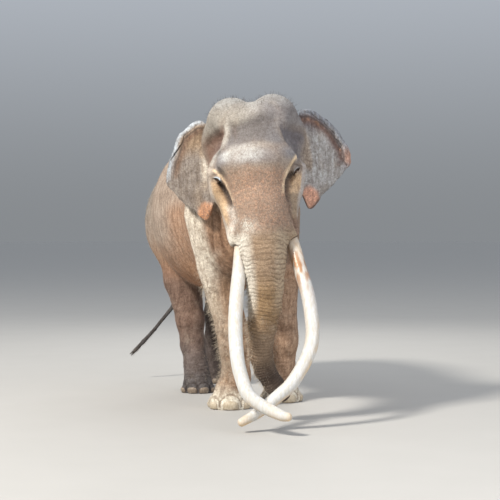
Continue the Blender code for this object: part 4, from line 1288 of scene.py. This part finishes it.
def make_skin():
    """The one skin, sculpted and coloured, and what the hair needs to know of it."""
    points, faces = finer_skin(*plain_skin())
    off = flesh_distance(points)
    close = step(0.014, 0.006, np.abs(off))
    points = points - normals_of(points, faces) * (off * close)[:, None]
    inside = to_head(points)
    root = bump(0.0, 0.022, np.abs(off)) * step(0.30, 0.38, np.abs(inside[:, 0]))
    root *= step(0.12, 0.2, inside[:, 1]) * step(-0.36, -0.30, inside[:, 2]) * (off > 0.002)
    ear = ear_share(points)
    around_root = bump(0.5, 0.45, ear) * (ear > 0.02)
    points = smoothed(points, faces, 0.6 * np.clip(root + around_root, 0, 1), 8)
    points = smoothed(points, faces, 0.25, 1)

    hide = Hide(points, faces, ear_share(points))
    for shape in SCULPTING:
        shape(hide)
    hide.crease = np.clip(hide.crease, 0, 1)
    for colour in COLOURING:
        colour(hide)
    hide.points = points + hide.normal * hide.lift[:, None]
    hide.points[:, 2] = np.maximum(hide.points[:, 2], 0.0)
    made = mesh_object("skin", hide.points + SHIFT, faces)
    put_marks(made, {"tone": hide.tone, "pink": hide.pink, "dark": np.clip(hide.dark, 0, 1),
                     "crease": hide.crease, "ear": hide.on_ear, "streaked": 1 - hide.head})
    put_in(made, SKIN, "hide", *[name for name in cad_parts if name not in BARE])
    return hide


# ---------------------------------------------------------------- materials
class Nodes:
    """The node tree of a material or world; each call adds to it and returns a socket."""

    def __init__(self, owner):
        owner.use_nodes = True
        self.owner, self.tree = owner, owner.node_tree

    def node(self, kind, inputs=(), **settings):
        made = self.tree.nodes.new(kind)
        for key, value in settings.items():
            setattr(made, key, value)
        for key, value in dict(inputs).items():
            self.feed(made.inputs[key], value)
        return made

    def feed(self, socket, value):
        if isinstance(value, bpy.types.NodeSocket):
            self.tree.links.new(value, socket)
        else:
            socket.default_value = value

    def between(self, value, low, high, out_low=0.0, out_high=1.0):
        made = self.node("ShaderNodeMapRange", {
            "Value": value, "From Min": low, "From Max": high, "To Min": out_low, "To Max": out_high,
        }, interpolation_type="SMOOTHSTEP")
        return made.outputs["Result"]

    def mix(self, share, a, b, kind="MIX"):
        made = self.node("ShaderNodeMix", data_type="RGBA", blend_type=kind)
        self.feed(made.inputs["Factor"], share)
        self.feed(made.inputs[6], (*a, 1.0) if isinstance(a, tuple) else a)
        self.feed(made.inputs[7], (*b, 1.0) if isinstance(b, tuple) else b)
        return made.outputs[2]


class Look(Nodes):
    """A material built up step by step."""

    def __init__(self, name):
        super().__init__(bpy.data.materials.new(name))
        self.shader = self.tree.nodes["Principled BSDF"]
        self.spot = self.node("ShaderNodeTexCoord").outputs["Object"]

    def mark(self, name):
        return self.node("ShaderNodeAttribute", attribute_name=name).outputs["Fac"]

    def times(self, a, b):
        return self.node("ShaderNodeMath", {0: a, 1: b}, operation="MULTIPLY").outputs[0]

    def noise(self, scale, detail=3.0, rough=0.55, warp=0.0, spot=None):
        made = self.node("ShaderNodeTexNoise", {
            "Vector": spot or self.spot, "Scale": scale, "Detail": detail, "Roughness": rough,
            "Distortion": warp,
        })
        return made.outputs["Fac"]

    def cells(self, scale, spot):
        """The distance to the borders of random cells."""
        made = self.node("ShaderNodeTexVoronoi", feature="DISTANCE_TO_EDGE")
        self.feed(made.inputs["Vector"], spot)
        made.inputs["Scale"].default_value = scale
        return made.outputs["Distance"]

    def stretched(self, scale):
        return self.node("ShaderNodeMapping", {"Vector": self.spot, "Scale": scale}).outputs["Vector"]

    def shaken(self, scale, reach):
        """The place on the object, moved about by noise."""
        noise = self.node("ShaderNodeTexNoise", {"Vector": self.spot, "Scale": scale})
        offset = self.node("ShaderNodeVectorMath", {0: noise.outputs["Color"]}, operation="SCALE")
        offset.inputs["Scale"].default_value = reach
        total = {0: self.spot, 1: offset.outputs[0]}
        return self.node("ShaderNodeVectorMath", total, operation="ADD").outputs[0]

    def dimmed(self, share, colour, tint):
        return self.mix(share, colour, tint, "MULTIPLY")

    def relief(self, value, depth, strength=1.0, below=None):
        made = self.node("ShaderNodeBump", {"Strength": strength, "Distance": depth, "Height": value})
        if below is not None:
            self.feed(made.inputs["Normal"], below)
        return made.outputs["Normal"]

    def finish(self, colour, rough, normal=None, **constants):
        """The material, with constants given as the shader's input names with _ for a space."""
        self.feed(self.shader.inputs["Base Color"], colour)
        self.feed(self.shader.inputs["Roughness"], rough)
        if normal is not None:
            self.feed(self.shader.inputs["Normal"], normal)
        for name, value in constants.items():
            self.shader.inputs[name.replace("_", " ")].default_value = value
        return self.owner


FRECKLE = (0.235, 0.175, 0.145)
ROSE = (0.620, 0.350, 0.215)
DUST = (0.640, 0.570, 0.470)
SHADE = (0.045, 0.032, 0.028)
FOLD = (0.34, 0.27, 0.23)  # what a fold's shade leaves of the colour round it


def skin_look():
    look = Look("elephant_hide")
    grain = look.noise(46.0, 4.0, 0.65)
    colour = look.node("ShaderNodeAttribute", attribute_name="tone").outputs["Color"]
    cloudy = look.between(look.noise(9.0, 5.0, 0.6, 0.4), 0.34, 0.58, 0.40, 0.0)
    colour = look.dimmed(cloudy, colour, (0.60, 0.54, 0.50))
    runs = look.noise(1.0, 5.0, 0.66, 0.4, look.stretched((30.0, 30.0, 5.5)))
    runs = look.times(look.between(runs, 0.40, 0.58, 0.55, 0.0), look.mark("streaked"))
    colour = look.dimmed(runs, colour, (0.52, 0.45, 0.40))
    swirl = look.between(look.noise(15.0, 6.0, 0.66, 2.2), 0.42, 0.56, 0.50, 0.0)
    colour = look.dimmed(look.times(swirl, look.mark("ear")), colour, (0.50, 0.46, 0.45))
    film = look.times(look.between(look.noise(5.0, 6.0, 0.7), 0.52, 0.72), 0.22)
    colour = look.mix(film, colour, DUST)
    blotch = look.between(look.noise(40.0, 3.0, 0.6), 0.46, 0.60, 0.0, 0.45)
    colour = look.mix(look.times(blotch, look.mark("pink")), colour, ROSE)
    spots = look.between(look.noise(105.0, 2.0, 0.6, 0.8), 0.46, 0.55, 0.0, 0.72)
    colour = look.mix(look.times(spots, look.mark("pink")), colour, FRECKLE)
    # Painted shade in the creases.
    colour = look.dimmed(look.times(look.mark("crease"), 0.75), colour, FOLD)
    colour = look.dimmed(look.between(grain, 0.35, 0.60, 0.34, 0.0), colour, FOLD)
    shaken = look.shaken(14.0, 0.05)
    wide = look.between(look.cells(20.0, shaken), 0.0, 0.10)
    tight = look.between(look.cells(58.0, shaken), 0.0, 0.14)
    normal = look.relief(wide, 0.0030, 0.35)
    normal = look.relief(tight, 0.0016, 0.8, normal)
    normal = look.relief(grain, 0.0012, 0.9, normal)
    # Painted shade in the cracks between the skin's cells.
    colour = look.dimmed(look.between(wide, 0.0, 1.0, 0.13, 0.0), colour, FOLD)
    colour = look.dimmed(look.between(tight, 0.0, 1.0, 0.36, 0.0), colour, FOLD)
    # Painted shade from the dark mark.
    colour = look.mix(look.times(look.mark("dark"), 0.92), colour, SHADE)
    rough = look.between(grain, 0.3, 0.7, 0.72, 0.92)
    return look.finish(colour, rough, normal, Specular_IOR_Level=0.35)


def ivory_look():
    look = Look("ivory")
    fine = look.noise(1.0, 5.0, 0.6, 0.0, look.stretched((60, 60, 9)))
    colour = look.mix(look.between(fine, 0.35, 0.70), (0.510, 0.490, 0.440), (0.600, 0.603, 0.606))
    # Amber: the ivory's own tint at the tip and base, and painted shade on the undersides and the far
    # tusk's outer side.
    colour = look.mix(look.mark("amber"), colour, (0.620, 0.440, 0.240))
    colour = look.mix(look.mark("stain"), colour, (0.360, 0.170, 0.070))
    scratch = look.noise(1.0, 6.0, 0.7, 0.0, look.stretched((220, 220, 14)))
    colour = look.mix(look.between(scratch, 0.60, 0.72, 0.0, 0.30), colour, (0.420, 0.290, 0.170))
    waves = look.node("ShaderNodeTexWave", {
        "Vector": look.spot, "Scale": 9.0, "Distortion": 5.0, "Detail": 3.0,
    }, wave_type="BANDS", bands_direction="Z")
    normal = look.relief(scratch, 0.0006, 0.6, look.relief(waves.outputs["Fac"], 0.0006, 0.5))
    rough = look.between(scratch, 0.3, 0.7, 0.28, 0.48)
    return look.finish(colour, rough, normal, Coat_Weight=0.15, Coat_Roughness=0.25)


def eye_look():
    look = Look("eye")
    gaze = look.mark("gaze")
    streaks = look.noise(380.0, 3.0, 0.6)
    iris = look.mix(look.between(streaks, 0.35, 0.65), (0.10, 0.045, 0.018), (0.27, 0.125, 0.045))
    white = look.mix(look.between(streaks, 0.4, 0.7), (0.10, 0.06, 0.05), (0.22, 0.15, 0.13))
    colour = look.mix(look.between(gaze, 0.47, 0.52), iris, white)
    colour = look.dimmed(look.between(gaze, 0.40, 0.49), colour, (0.02, 0.012, 0.01))
    colour = look.mix(look.between(gaze, 0.17, 0.21), (0.004, 0.003, 0.003), colour)
    rough = look.between(streaks, 0.3, 0.7, 0.12, 0.2)
    return look.finish(colour, rough, Coat_Weight=1.0, Coat_Roughness=0.03)


def nail_look():
    look = Look("toenail")
    grain = look.noise(1.0, 4.0, 0.6, 0.3, look.stretched((110, 110, 18)))
    colour = look.mix(look.between(grain, 0.35, 0.65), (0.360, 0.290, 0.200), (0.500, 0.430, 0.320))
    colour = look.mix(look.mark("edge"), colour, (0.150, 0.100, 0.070))
    colour = look.dimmed(look.mark("shaded"), colour, (0.46, 0.42, 0.42))
    dusty = look.between(look.noise(34.0, 5.0, 0.6), 0.5, 0.75, 0.0, 0.55)
    colour = look.mix(dusty, colour, DUST)
    return look.finish(colour, look.between(grain, 0.3, 0.7, 0.42, 0.68), look.relief(grain, 0.0012, 0.6))


def hair_look(name, root, tip):
    look = Look(name)
    tone = look.noise(9.0, 2.0)
    colour = look.mix(look.mark("length"), root, tip)
    colour = look.dimmed(look.between(tone, 0.3, 0.7, 0.0, 0.4), colour, (0.30, 0.22, 0.15))
    return look.finish(colour, look.between(tone, 0.3, 0.7, 0.45, 0.65))


# ---------------------------------------------------------------- tusks, eyes and toenails
def frames_along(centres):
    """A side and an up direction for each point of a path, which turn as little as can be."""
    ways = unit(np.gradient(centres, axis=0))
    side = np.array((1.0, 0.0, 0.0))
    sides = []
    for way in ways:
        side = side - way * (side @ way)
        side = side / np.linalg.norm(side)
        sides.append(side)
    sides = np.array(sides)
    return ways, sides, np.cross(ways, sides)


TUSK_SIDES = 40


def tusk_swell(share, turn, seed):
    """How far the ivory stands out: slow swellings, lengthwise grooves and growth rings."""
    spot = np.stack([np.cos(turn), np.sin(turn), share * 40], axis=-1).reshape(-1, 3)
    slow = cloud(spot, (1.6, 1.6, 2.6), seed)
    fine = cloud(spot, (0.16, 0.16, 9.0), seed + 1)
    ringed = cloud(spot, (2.5, 2.5, 0.35), seed + 2)
    return (0.0014 * slow + 0.0005 * fine + 0.0004 * ringed).reshape(share.shape)


def tusk_marks(points, outward, share, seed, far):
    """Where the ivory is amber, which is partly its own tint and partly painted shade on the undersides
    and on the far tusk's outer side, and where it is stained.
    """
    patches = cloud(points, 0.07, seed + 5)
    # Painted shade, in amber, on the undersides and on the far tusk's outer side.
    under = step(0.1, 0.9, -outward[:, 2]) * step(-0.5, 0.3, patches)
    outer = step(0.2, 0.9, outward[:, 0]) * step(-0.7, 0.2, patches) * far
    amber = 0.45 * step(0.86, 0.99, share + 0.05 * patches) + 0.50 * step(0.32, 0.12, share)
    amber = amber + 0.50 * under * step(0.45, 0.7, share) + 0.60 * outer * step(0.30, 0.50, share)
    amber = amber + 0.20 * step(0.15, 0.6, cloud(points, (0.05, 0.05, 0.22), seed + 6))
    runs = step(-0.40, 0.30, cloud(points, (0.022, 0.022, 0.16), seed + 7))
    stain = 0.95 * runs * bump(0.235, 0.070, share) * (1.0 if far else 0.12)
    stain = stain + 0.45 * step(0.13, 0.07, share) + 0.20 * step(0.975, 1.0, share)
    return {"amber": np.clip(amber, 0, 1), "stain": np.clip(stain, 0, 1)}


def make_tusk(name):
    """An ivory tusk with fine relief and a worn blunt tip."""
    far = name == "tusk_left"
    seed = 201 if far else 211
    path = smooth_path(TUSKS[name], 220)
    tip, way = path[-1], unit(path[-1, :3] - path[-2, :3])
    closing = [np.append(tip[:3] + way * tip[3] * math.sin(a) * 0.85, tip[3] * math.cos(a))
               for a in np.linspace(0.12, 1.50, 12)]
    path = np.vstack([path, closing])
    share, turn = np.meshgrid(np.linspace(0, 1, len(path)),
                              np.linspace(0, 2 * math.pi, TUSK_SIDES, endpoint=False), indexing="ij")
    _, sides, ups = frames_along(path[:, :3])
    out = sides[:, None] * np.cos(turn)[:, :, None] + ups[:, None] * np.sin(turn)[:, :, None]
    radius = path[:, 3:4] + tusk_swell(share, turn, seed)
    body = (path[:, None, :3] + out * radius[:, :, None]).reshape(-1, 3)
    points = np.vstack([body, path[0, :3], path[-1, :3]])
    outward = np.vstack([unit(out.reshape(-1, 3)), np.zeros((2, 3))])
    ring, last = np.arange(TUSK_SIDES), len(body)
    following, top = (ring + 1) % TUSK_SIDES, last - TUSK_SIDES
    quads = grid_faces(len(path), TUSK_SIDES)
    faces = np.vstack([
        quads[:, [0, 1, 2]], quads[:, [0, 2, 3]],
        np.stack([following, ring, ring * 0 + last], axis=1),
        np.stack([top + ring, top + following, ring * 0 + last + 1], axis=1),
    ])
    if (normals_of(points, faces) * outward).sum() < 0:
        faces = faces[:, ::-1]
    made = mesh_object(name + "_ivory", from_head(points) + SHIFT, faces)
    share = np.append(share.ravel(), [0, 1])
    put_marks(made, tusk_marks(points, outward, share, seed, far))
    put_in(made, IVORY, "ivory", name)


def make_eye(side):
    """An eyeball with a slightly raised clear front, its iris and pupil marked by direction."""
    name = "eye_left" if side > 0 else "eye_right"
    points, polygons = ball_template(64, 40)
    gaze = unit(field_slope(EYES[side]) + np.array(HEAD_TURN @ Vector((0, -0.35, -0.15))))
    turn = np.array(Vector(gaze).to_track_quat("Z", "Y").to_matrix())
    tilt = np.arccos(np.clip(points[:, 2], -1, 1))
    radius = EYE_RADIUS * (1 + 0.05 * bump(0.0, 0.5, tilt))
    place = (points * radius[:, None]) @ turn.T + EYES[side] - gaze * 0.004
    made = polygon_object(name + "_ball", place + SHIFT, polygons)
    made.data.polygons.foreach_set("use_smooth", np.full(len(polygons), True))
    put_marks(made, {"gaze": tilt / 1.2})
    put_in(made, EYE, "eye", name)


NAIL_ROWS, NAIL_COLUMNS = 15, 19


def foot_reach(centre, directions, heights):
    """How far out the foot's skin lies in each direction at each height."""
    low = np.full(len(heights), 0.05)
    high = np.full(len(heights), 0.32)
    for _ in range(16):
        middle = (low + high) / 2
        spots = np.column_stack([centre + directions * middle[:, None], heights])
        within = flesh_distance(spots) < 0
        low, high = np.where(within, middle, low), np.where(within, high, middle)
    return low


def nail_layers(centre, turn, radius, half):
    """The outer and the inner points of one nail, and how near each is to its rim."""
    across, up = np.meshgrid(np.linspace(-1, 1, NAIL_COLUMNS), np.linspace(0, 1, NAIL_ROWS))
    width = half * np.where(up < 0.35, 0.90 + 0.10 * np.sin(up / 0.35 * math.pi / 2),
                            np.sqrt(np.clip(1 - (np.maximum(up - 0.35, 0) / 0.66) ** 2.4, 0.0, 1)))
    turn = turn + across * width / radius
    height = (0.004 + up * (0.030 + half * 0.80) * (1 - 0.05 * across**2)).ravel()
    direction = np.stack([np.sin(turn), -np.cos(turn)], axis=2).reshape(-1, 2)
    reach = foot_reach(centre, direction, height)
    bulge = (1 - np.abs(across) ** 3) * (1 - np.clip((up - 0.55) / 0.45, 0, 1) ** 2)
    bulge = bulge * (0.75 + 0.25 * np.sin(np.clip(up, 0, 1) * math.pi))
    ridges = 0.0006 * np.sin(across * 26 + 2 * up)
    outer = reach + 0.006 + ((0.022 + ridges) * bulge).ravel()
    rim = np.maximum(np.abs(across) ** 8, np.clip((0.10 - up) / 0.10, 0, 1)).ravel()
    points = [np.column_stack([centre + direction * layer[:, None], height])
              for layer in (outer, reach - 0.012)]
    return np.vstack(points), np.tile(rim, 2)


def nail_faces():
    """Quads over both layers of one nail and round the border between them."""
    quads = grid_faces(NAIL_ROWS, NAIL_COLUMNS, wrap=False)
    count = NAIL_ROWS * NAIL_COLUMNS
    along_row, along_column = np.arange(NAIL_COLUMNS - 1), np.arange(NAIL_ROWS - 1) * NAIL_COLUMNS
    border = np.concatenate([along_row, along_column + NAIL_COLUMNS - 1,
                             count - 1 - along_row, along_column[::-1] + NAIL_COLUMNS])
    following = np.roll(border, -1)
    side = np.stack([following, border, border + count, following + count], axis=1)
    return np.vstack([quads, count + quads[:, ::-1], side])


def make_nails(leg_name):
    """The toenails of one foot: blunt horn shields bedded round its front edge."""
    side, foot_y, foot_x, radius, _ = LEGS[leg_name]
    centre = np.array((side * foot_x, foot_y))
    nails = [nail_layers(centre, math.radians(degrees + side * TOE_TURN), radius, half)
             for degrees, half in nails_of(leg_name)]
    points = np.vstack([nail[0] for nail in nails])
    edge = np.concatenate([nail[1] for nail in nails])
    one = nail_faces()
    faces = np.vstack([one + number * len(nails[0][0]) for number in range(len(nails))])
    made = mesh_object("toenails_" + leg_name, points + SHIFT, faces)
    turn_outwards(made)
    put_marks(made, {"edge": edge, "shaded": edge * 0 + float(leg_name.startswith("hind"))})
    put_in(made, NAIL, "nail")


# ---------------------------------------------------------------- hair
HAIR_PATCH = 0.003  # each hair's own patch of the bake's map
MAP_MARGIN, MAP_SPAN = 0.002, 0.99  # the part of the map that the hairs' patches start in
BARREL_HEIGHT = 1.7  # the height of the line that the map's turn is measured about
MAP_FRONT, MAP_LENGTH = -2.1, 5.0  # where on y the map begins, and how far it runs back
TUFT_HAIRS = 200
TUFT_TOP = 0.60  # the height below which the tail carries its tuft


def make_hairs(name, roots, ways, lengths, radius, look, droop, bends=4, curl=0.15):
    """Tapering three-sided hairs that leave their roots along ways and sag."""
    count = len(roots)
    sag = np.array((0, 0, -1.0)) * droop
    wild = RANDOM.normal(0, 1, (count, 3)) * curl
    side = unit(np.cross(ways, RANDOM.normal(0, 1, (count, 3))))
    other = np.cross(ways, side)
    rows = []
    for t in np.linspace(0, 1, bends + 1):
        spine = roots + lengths[:, None] * (ways * t + (sag + wild) * t * t)
        thick = radius * (1 - 0.92 * t**1.3)
        for turn in np.arange(3) * 2 * math.pi / 3:
            rows.append(spine + (side * math.cos(turn) + other * math.sin(turn)) * thick)
    points = np.stack(rows, axis=1)
    per = len(rows)
    quads = grid_faces(bends + 1, 3)
    tris = np.vstack([quads[:, [0, 1, 2]], quads[:, [0, 2, 3]], [(per - 3, per - 2, per - 1)]])
    faces = (np.arange(count)[:, None, None] * per + tris[None]).reshape(-1, 3)
    made = mesh_object(name, points.reshape(-1, 3) + SHIFT, faces)
    along_hair = np.repeat(np.linspace(0, 1, bends + 1), 3)
    put_marks(made, {"length": np.tile(along_hair, count)})
    patch = np.column_stack([along_hair, np.tile([0.0, 0.5, 1.0], bends + 1)]) * HAIR_PATCH
    place = np.repeat(unwrapped(roots), per, axis=0) + np.tile(patch, (count, 1))
    layer = made.data.uv_layers.new(name="OFBake")
    layer.data.foreach_set("uv", place[faces.ravel()].astype(np.float32).ravel())
    put_in(made, look, "tail_tuft")


def unwrapped(points):
    """A place in the unit square for each point: its turn about the body, by how far back."""
    turn = np.arctan2(points[:, 0], points[:, 2] - BARREL_HEIGHT) / (2 * math.pi) + 0.5
    back = np.clip((points[:, 1] - MAP_FRONT) / MAP_LENGTH, 0, 1)
    return MAP_MARGIN + MAP_SPAN * np.column_stack([turn, back])


def sown(density, count):
    """count roots on the skin, thick where their density is high, and the normals there."""
    corners = hide.points[hide.faces]
    cross = np.cross(corners[:, 1] - corners[:, 0], corners[:, 2] - corners[:, 0])
    weight = np.linalg.norm(cross, axis=1) * density[hide.faces].mean(axis=1)
    pick = RANDOM.choice(len(hide.faces), count, p=weight / weight.sum())
    mix = RANDOM.dirichlet((1, 1, 1), count)
    return (corners[pick] * mix[:, :, None]).sum(axis=1), unit(cross[pick])


def grow(name, density, count, way, stand, lengths, radius, look, droop, bends=4):
    """Sows hairs that lean from the skin towards way; stand is how much they stay upright."""
    roots, normals = sown(density, count)
    ways = unit(normals * stand + np.asarray(way) + RANDOM.normal(0, 0.18, normals.shape))
    make_hairs(name, roots, ways, RANDOM.uniform(*lengths, count), radius, look, droop, bends)


def make_coat():
    """Bristles on the crown, the back, all over, on the front edges and under the chin."""
    _, y, z = to_head(hide.points).T
    side_on, back, height = hide.points.T
    on_head = hide.head > 0.5
    crown = step(0.50, 0.66, z) * on_head * step(0.55, 0.35, y)
    grow("hair_crown", crown, 420, HEAD_TURN @ Vector((0, 0.35, 0.25)), 0.9,
         (0.015, 0.060), 0.0008, DARK_HAIR, 0.15)
    ridge = step(2.35, 2.60, height) * (back > -0.5) * step(0.30, 0.10, np.abs(side_on))
    grow("hair_back", ridge + 1e-9, 700, (0, 0.9, -0.1), 0.5, (0.02, 0.050), 0.0008, DARK_HAIR, 0.2)
    fine = 0.5 * hide.fleshy * (height > 0.15) * (1 - hide.head)
    fine = fine + 1.2 * hide.head * (z < 0.1) * (z > -1.8) + 0.5 * step(1.5, 0.3, height) * hide.fleshy
    grow("hair_body", np.clip(fine, 0, 2) * (height > 0.12), 9000, (0, 0.15, -0.7), 0.9,
         (0.012, 0.034), 0.0007, PALE_HAIR, 0.1, bends=2)
    grow("hair_fringe", hide.fringe * (height > 0.25) + 1e-9, 1500, (0, 0, -0.25), 1.0,
         (0.028, 0.062), 0.0014, FRINGE_HAIR, 0.15, bends=3)
    chin = step(-0.55, -0.68, z) * step(-0.30, -0.10, y) * step(0.30, 0.15, y) * on_head
    grow("hair_chin", chin * (z > -0.9) + 1e-9, 320, (0, 0, -1.0), 0.6,
         (0.05, 0.13), 0.0010, DARK_HAIR, 0.3)


def make_tuft():
    """Coarse hairs along the tail's end."""
    line = TAIL_LINE[TAIL_LINE[:, 2] < TUFT_TOP]
    pick = RANDOM.integers(0, len(line), TUFT_HAIRS)
    ways, sides, ups = frames_along(line[:, :3])
    turn = RANDOM.uniform(0, 2 * math.pi, TUFT_HAIRS)
    outward = sides[pick] * np.cos(turn)[:, None] + ups[pick] * np.sin(turn)[:, None]
    roots = line[pick, :3] + outward * line[pick, 3:4] * 0.7
    left_over = np.linalg.norm(TAIL_LINE[-1, :3] - line[pick, :3], axis=1)
    lengths = np.minimum(RANDOM.uniform(0.05, 0.13, TUFT_HAIRS), left_over + 0.030)
    ways = unit(ways[pick] + outward * 0.12 + RANDOM.normal(0, 0.04, outward.shape))
    make_hairs("hair_tail", roots, ways, lengths, 0.0013, DARK_HAIR, 0.10, curl=0.05)


def make_lashes(side):
    """A row of lashes that leaves an eye's upper lid and bends down."""
    facing_out, forward, upward = eye_frame(side)
    spread = np.linspace(-0.030, 0.028, 34)
    arch = 0.013 * np.sqrt(np.clip(1 - (spread / 0.034) ** 2, 0, 1))
    roots = EYES[side] + spread[:, None] * forward + arch[:, None] * upward + facing_out * 0.026
    ways = unit(facing_out * 0.9 - upward * 0.75 + forward * (spread * 9)[:, None])
    lengths = 0.045 * (1 - 0.3 * np.abs(spread / 0.03))
    name = "lashes_left" if side > 0 else "lashes_right"
    make_hairs(name, roots, ways, lengths, 0.0008, DARK_HAIR, 0.1, curl=0.05)


# ---------------------------------------------------------------- the elephant
BARE = ("tusk_left", "tusk_right", "eye_left", "eye_right")
SKIN = skin_look()
IVORY = ivory_look()
EYE = eye_look()
NAIL = nail_look()
DARK_HAIR = hair_look("hair_dark", (0.045, 0.033, 0.026), (0.090, 0.065, 0.045))
PALE_HAIR = hair_look("hair_pale", (0.220, 0.170, 0.120), (0.600, 0.520, 0.410))
FRINGE_HAIR = hair_look("hair_fringe_look", (0.330, 0.265, 0.190), (0.720, 0.630, 0.500))

hide = make_skin()
for name in TUSKS:
    make_tusk(name)
for side in BOTH:
    make_eye(side)
for name in LEGS:
    make_nails(name)
make_coat()
make_tuft()
for side in BOTH:
    make_lashes(side)

# ---------------------------------------------------------------- floor, light and camera
SCENE = bpy.context.scene
FLOOR_SIZE = 400.0
SKY, HORIZON = (0.50, 0.54, 0.60), (0.245, 0.259, 0.274)
MIDDLE = (CAD_BOX[0] + CAD_BOX[1]) / 2
CAMERA_AT = Vector((-2.927, -11.970, 1.670))
CAMERA_AZIMUTH = math.radians(-14.0)
CAMERA_DROP = math.atan(0.0103)  # it looks down by this fall for each metre
SENSOR, LENS = 36.0, 90.864  # millimetres

floor = mesh_object("floor", np.array([(-1, -1, 0), (1, -1, 0), (1, 1, 0), (-1, 1, 0)]) * FLOOR_SIZE,
                    [(0, 1, 2, 3)], False)
floor_look = Look("floor")
floor_tone = floor_look.mix(floor_look.noise(1.5, 4.0), (0.42, 0.41, 0.39), (0.45, 0.44, 0.42))
floor.data.materials.append(floor_look.finish(floor_tone, 0.85))

studio = Nodes(bpy.data.worlds.new("studio"))
view_way = studio.node("ShaderNodeTexCoord").outputs["Generated"]
rise = studio.node("ShaderNodeSeparateXYZ", {0: view_way}).outputs["Z"]
sky = studio.mix(studio.between(rise, 0.0, 0.30), HORIZON, SKY)
studio.feed(studio.tree.nodes["Background"].inputs["Color"], sky)
SCENE.world = studio.owner


def area_light(name, place, size, power, tint):
    data = bpy.data.lights.new(name, "AREA")
    data.shape = "SQUARE"
    data.size = size
    data.energy = power
    data.color = tint
    made = bpy.data.objects.new(name, data)
    made.location = MIDDLE + Vector(place)
    made.rotation_euler = (MIDDLE - made.location).to_track_quat("-Z", "Y").to_euler()
    SCENE.collection.objects.link(made)


area_light("key", (-16.1, -9.9, 15.4), 3.2, 8700.0, (1.0, 0.955, 0.88))
area_light("fill", (4.6, -10.0, 1.6), 6.0, 470.0, (0.98, 0.975, 1.0))
area_light("back", (3.5, 8.0, 6.0), 4.0, 300.0, (1.0, 0.97, 0.92))

camera_data = bpy.data.cameras.new("camera")
camera_data.sensor_width = SENSOR
camera_data.lens = LENS
camera = bpy.data.objects.new("camera", camera_data)
camera.location = CAMERA_AT + Vector(SHIFT)
camera.rotation_euler = (math.pi / 2 - CAMERA_DROP, 0, CAMERA_AZIMUTH)
SCENE.collection.objects.link(camera)
SCENE.camera = camera
SCENE.view_settings.view_transform = "Standard"
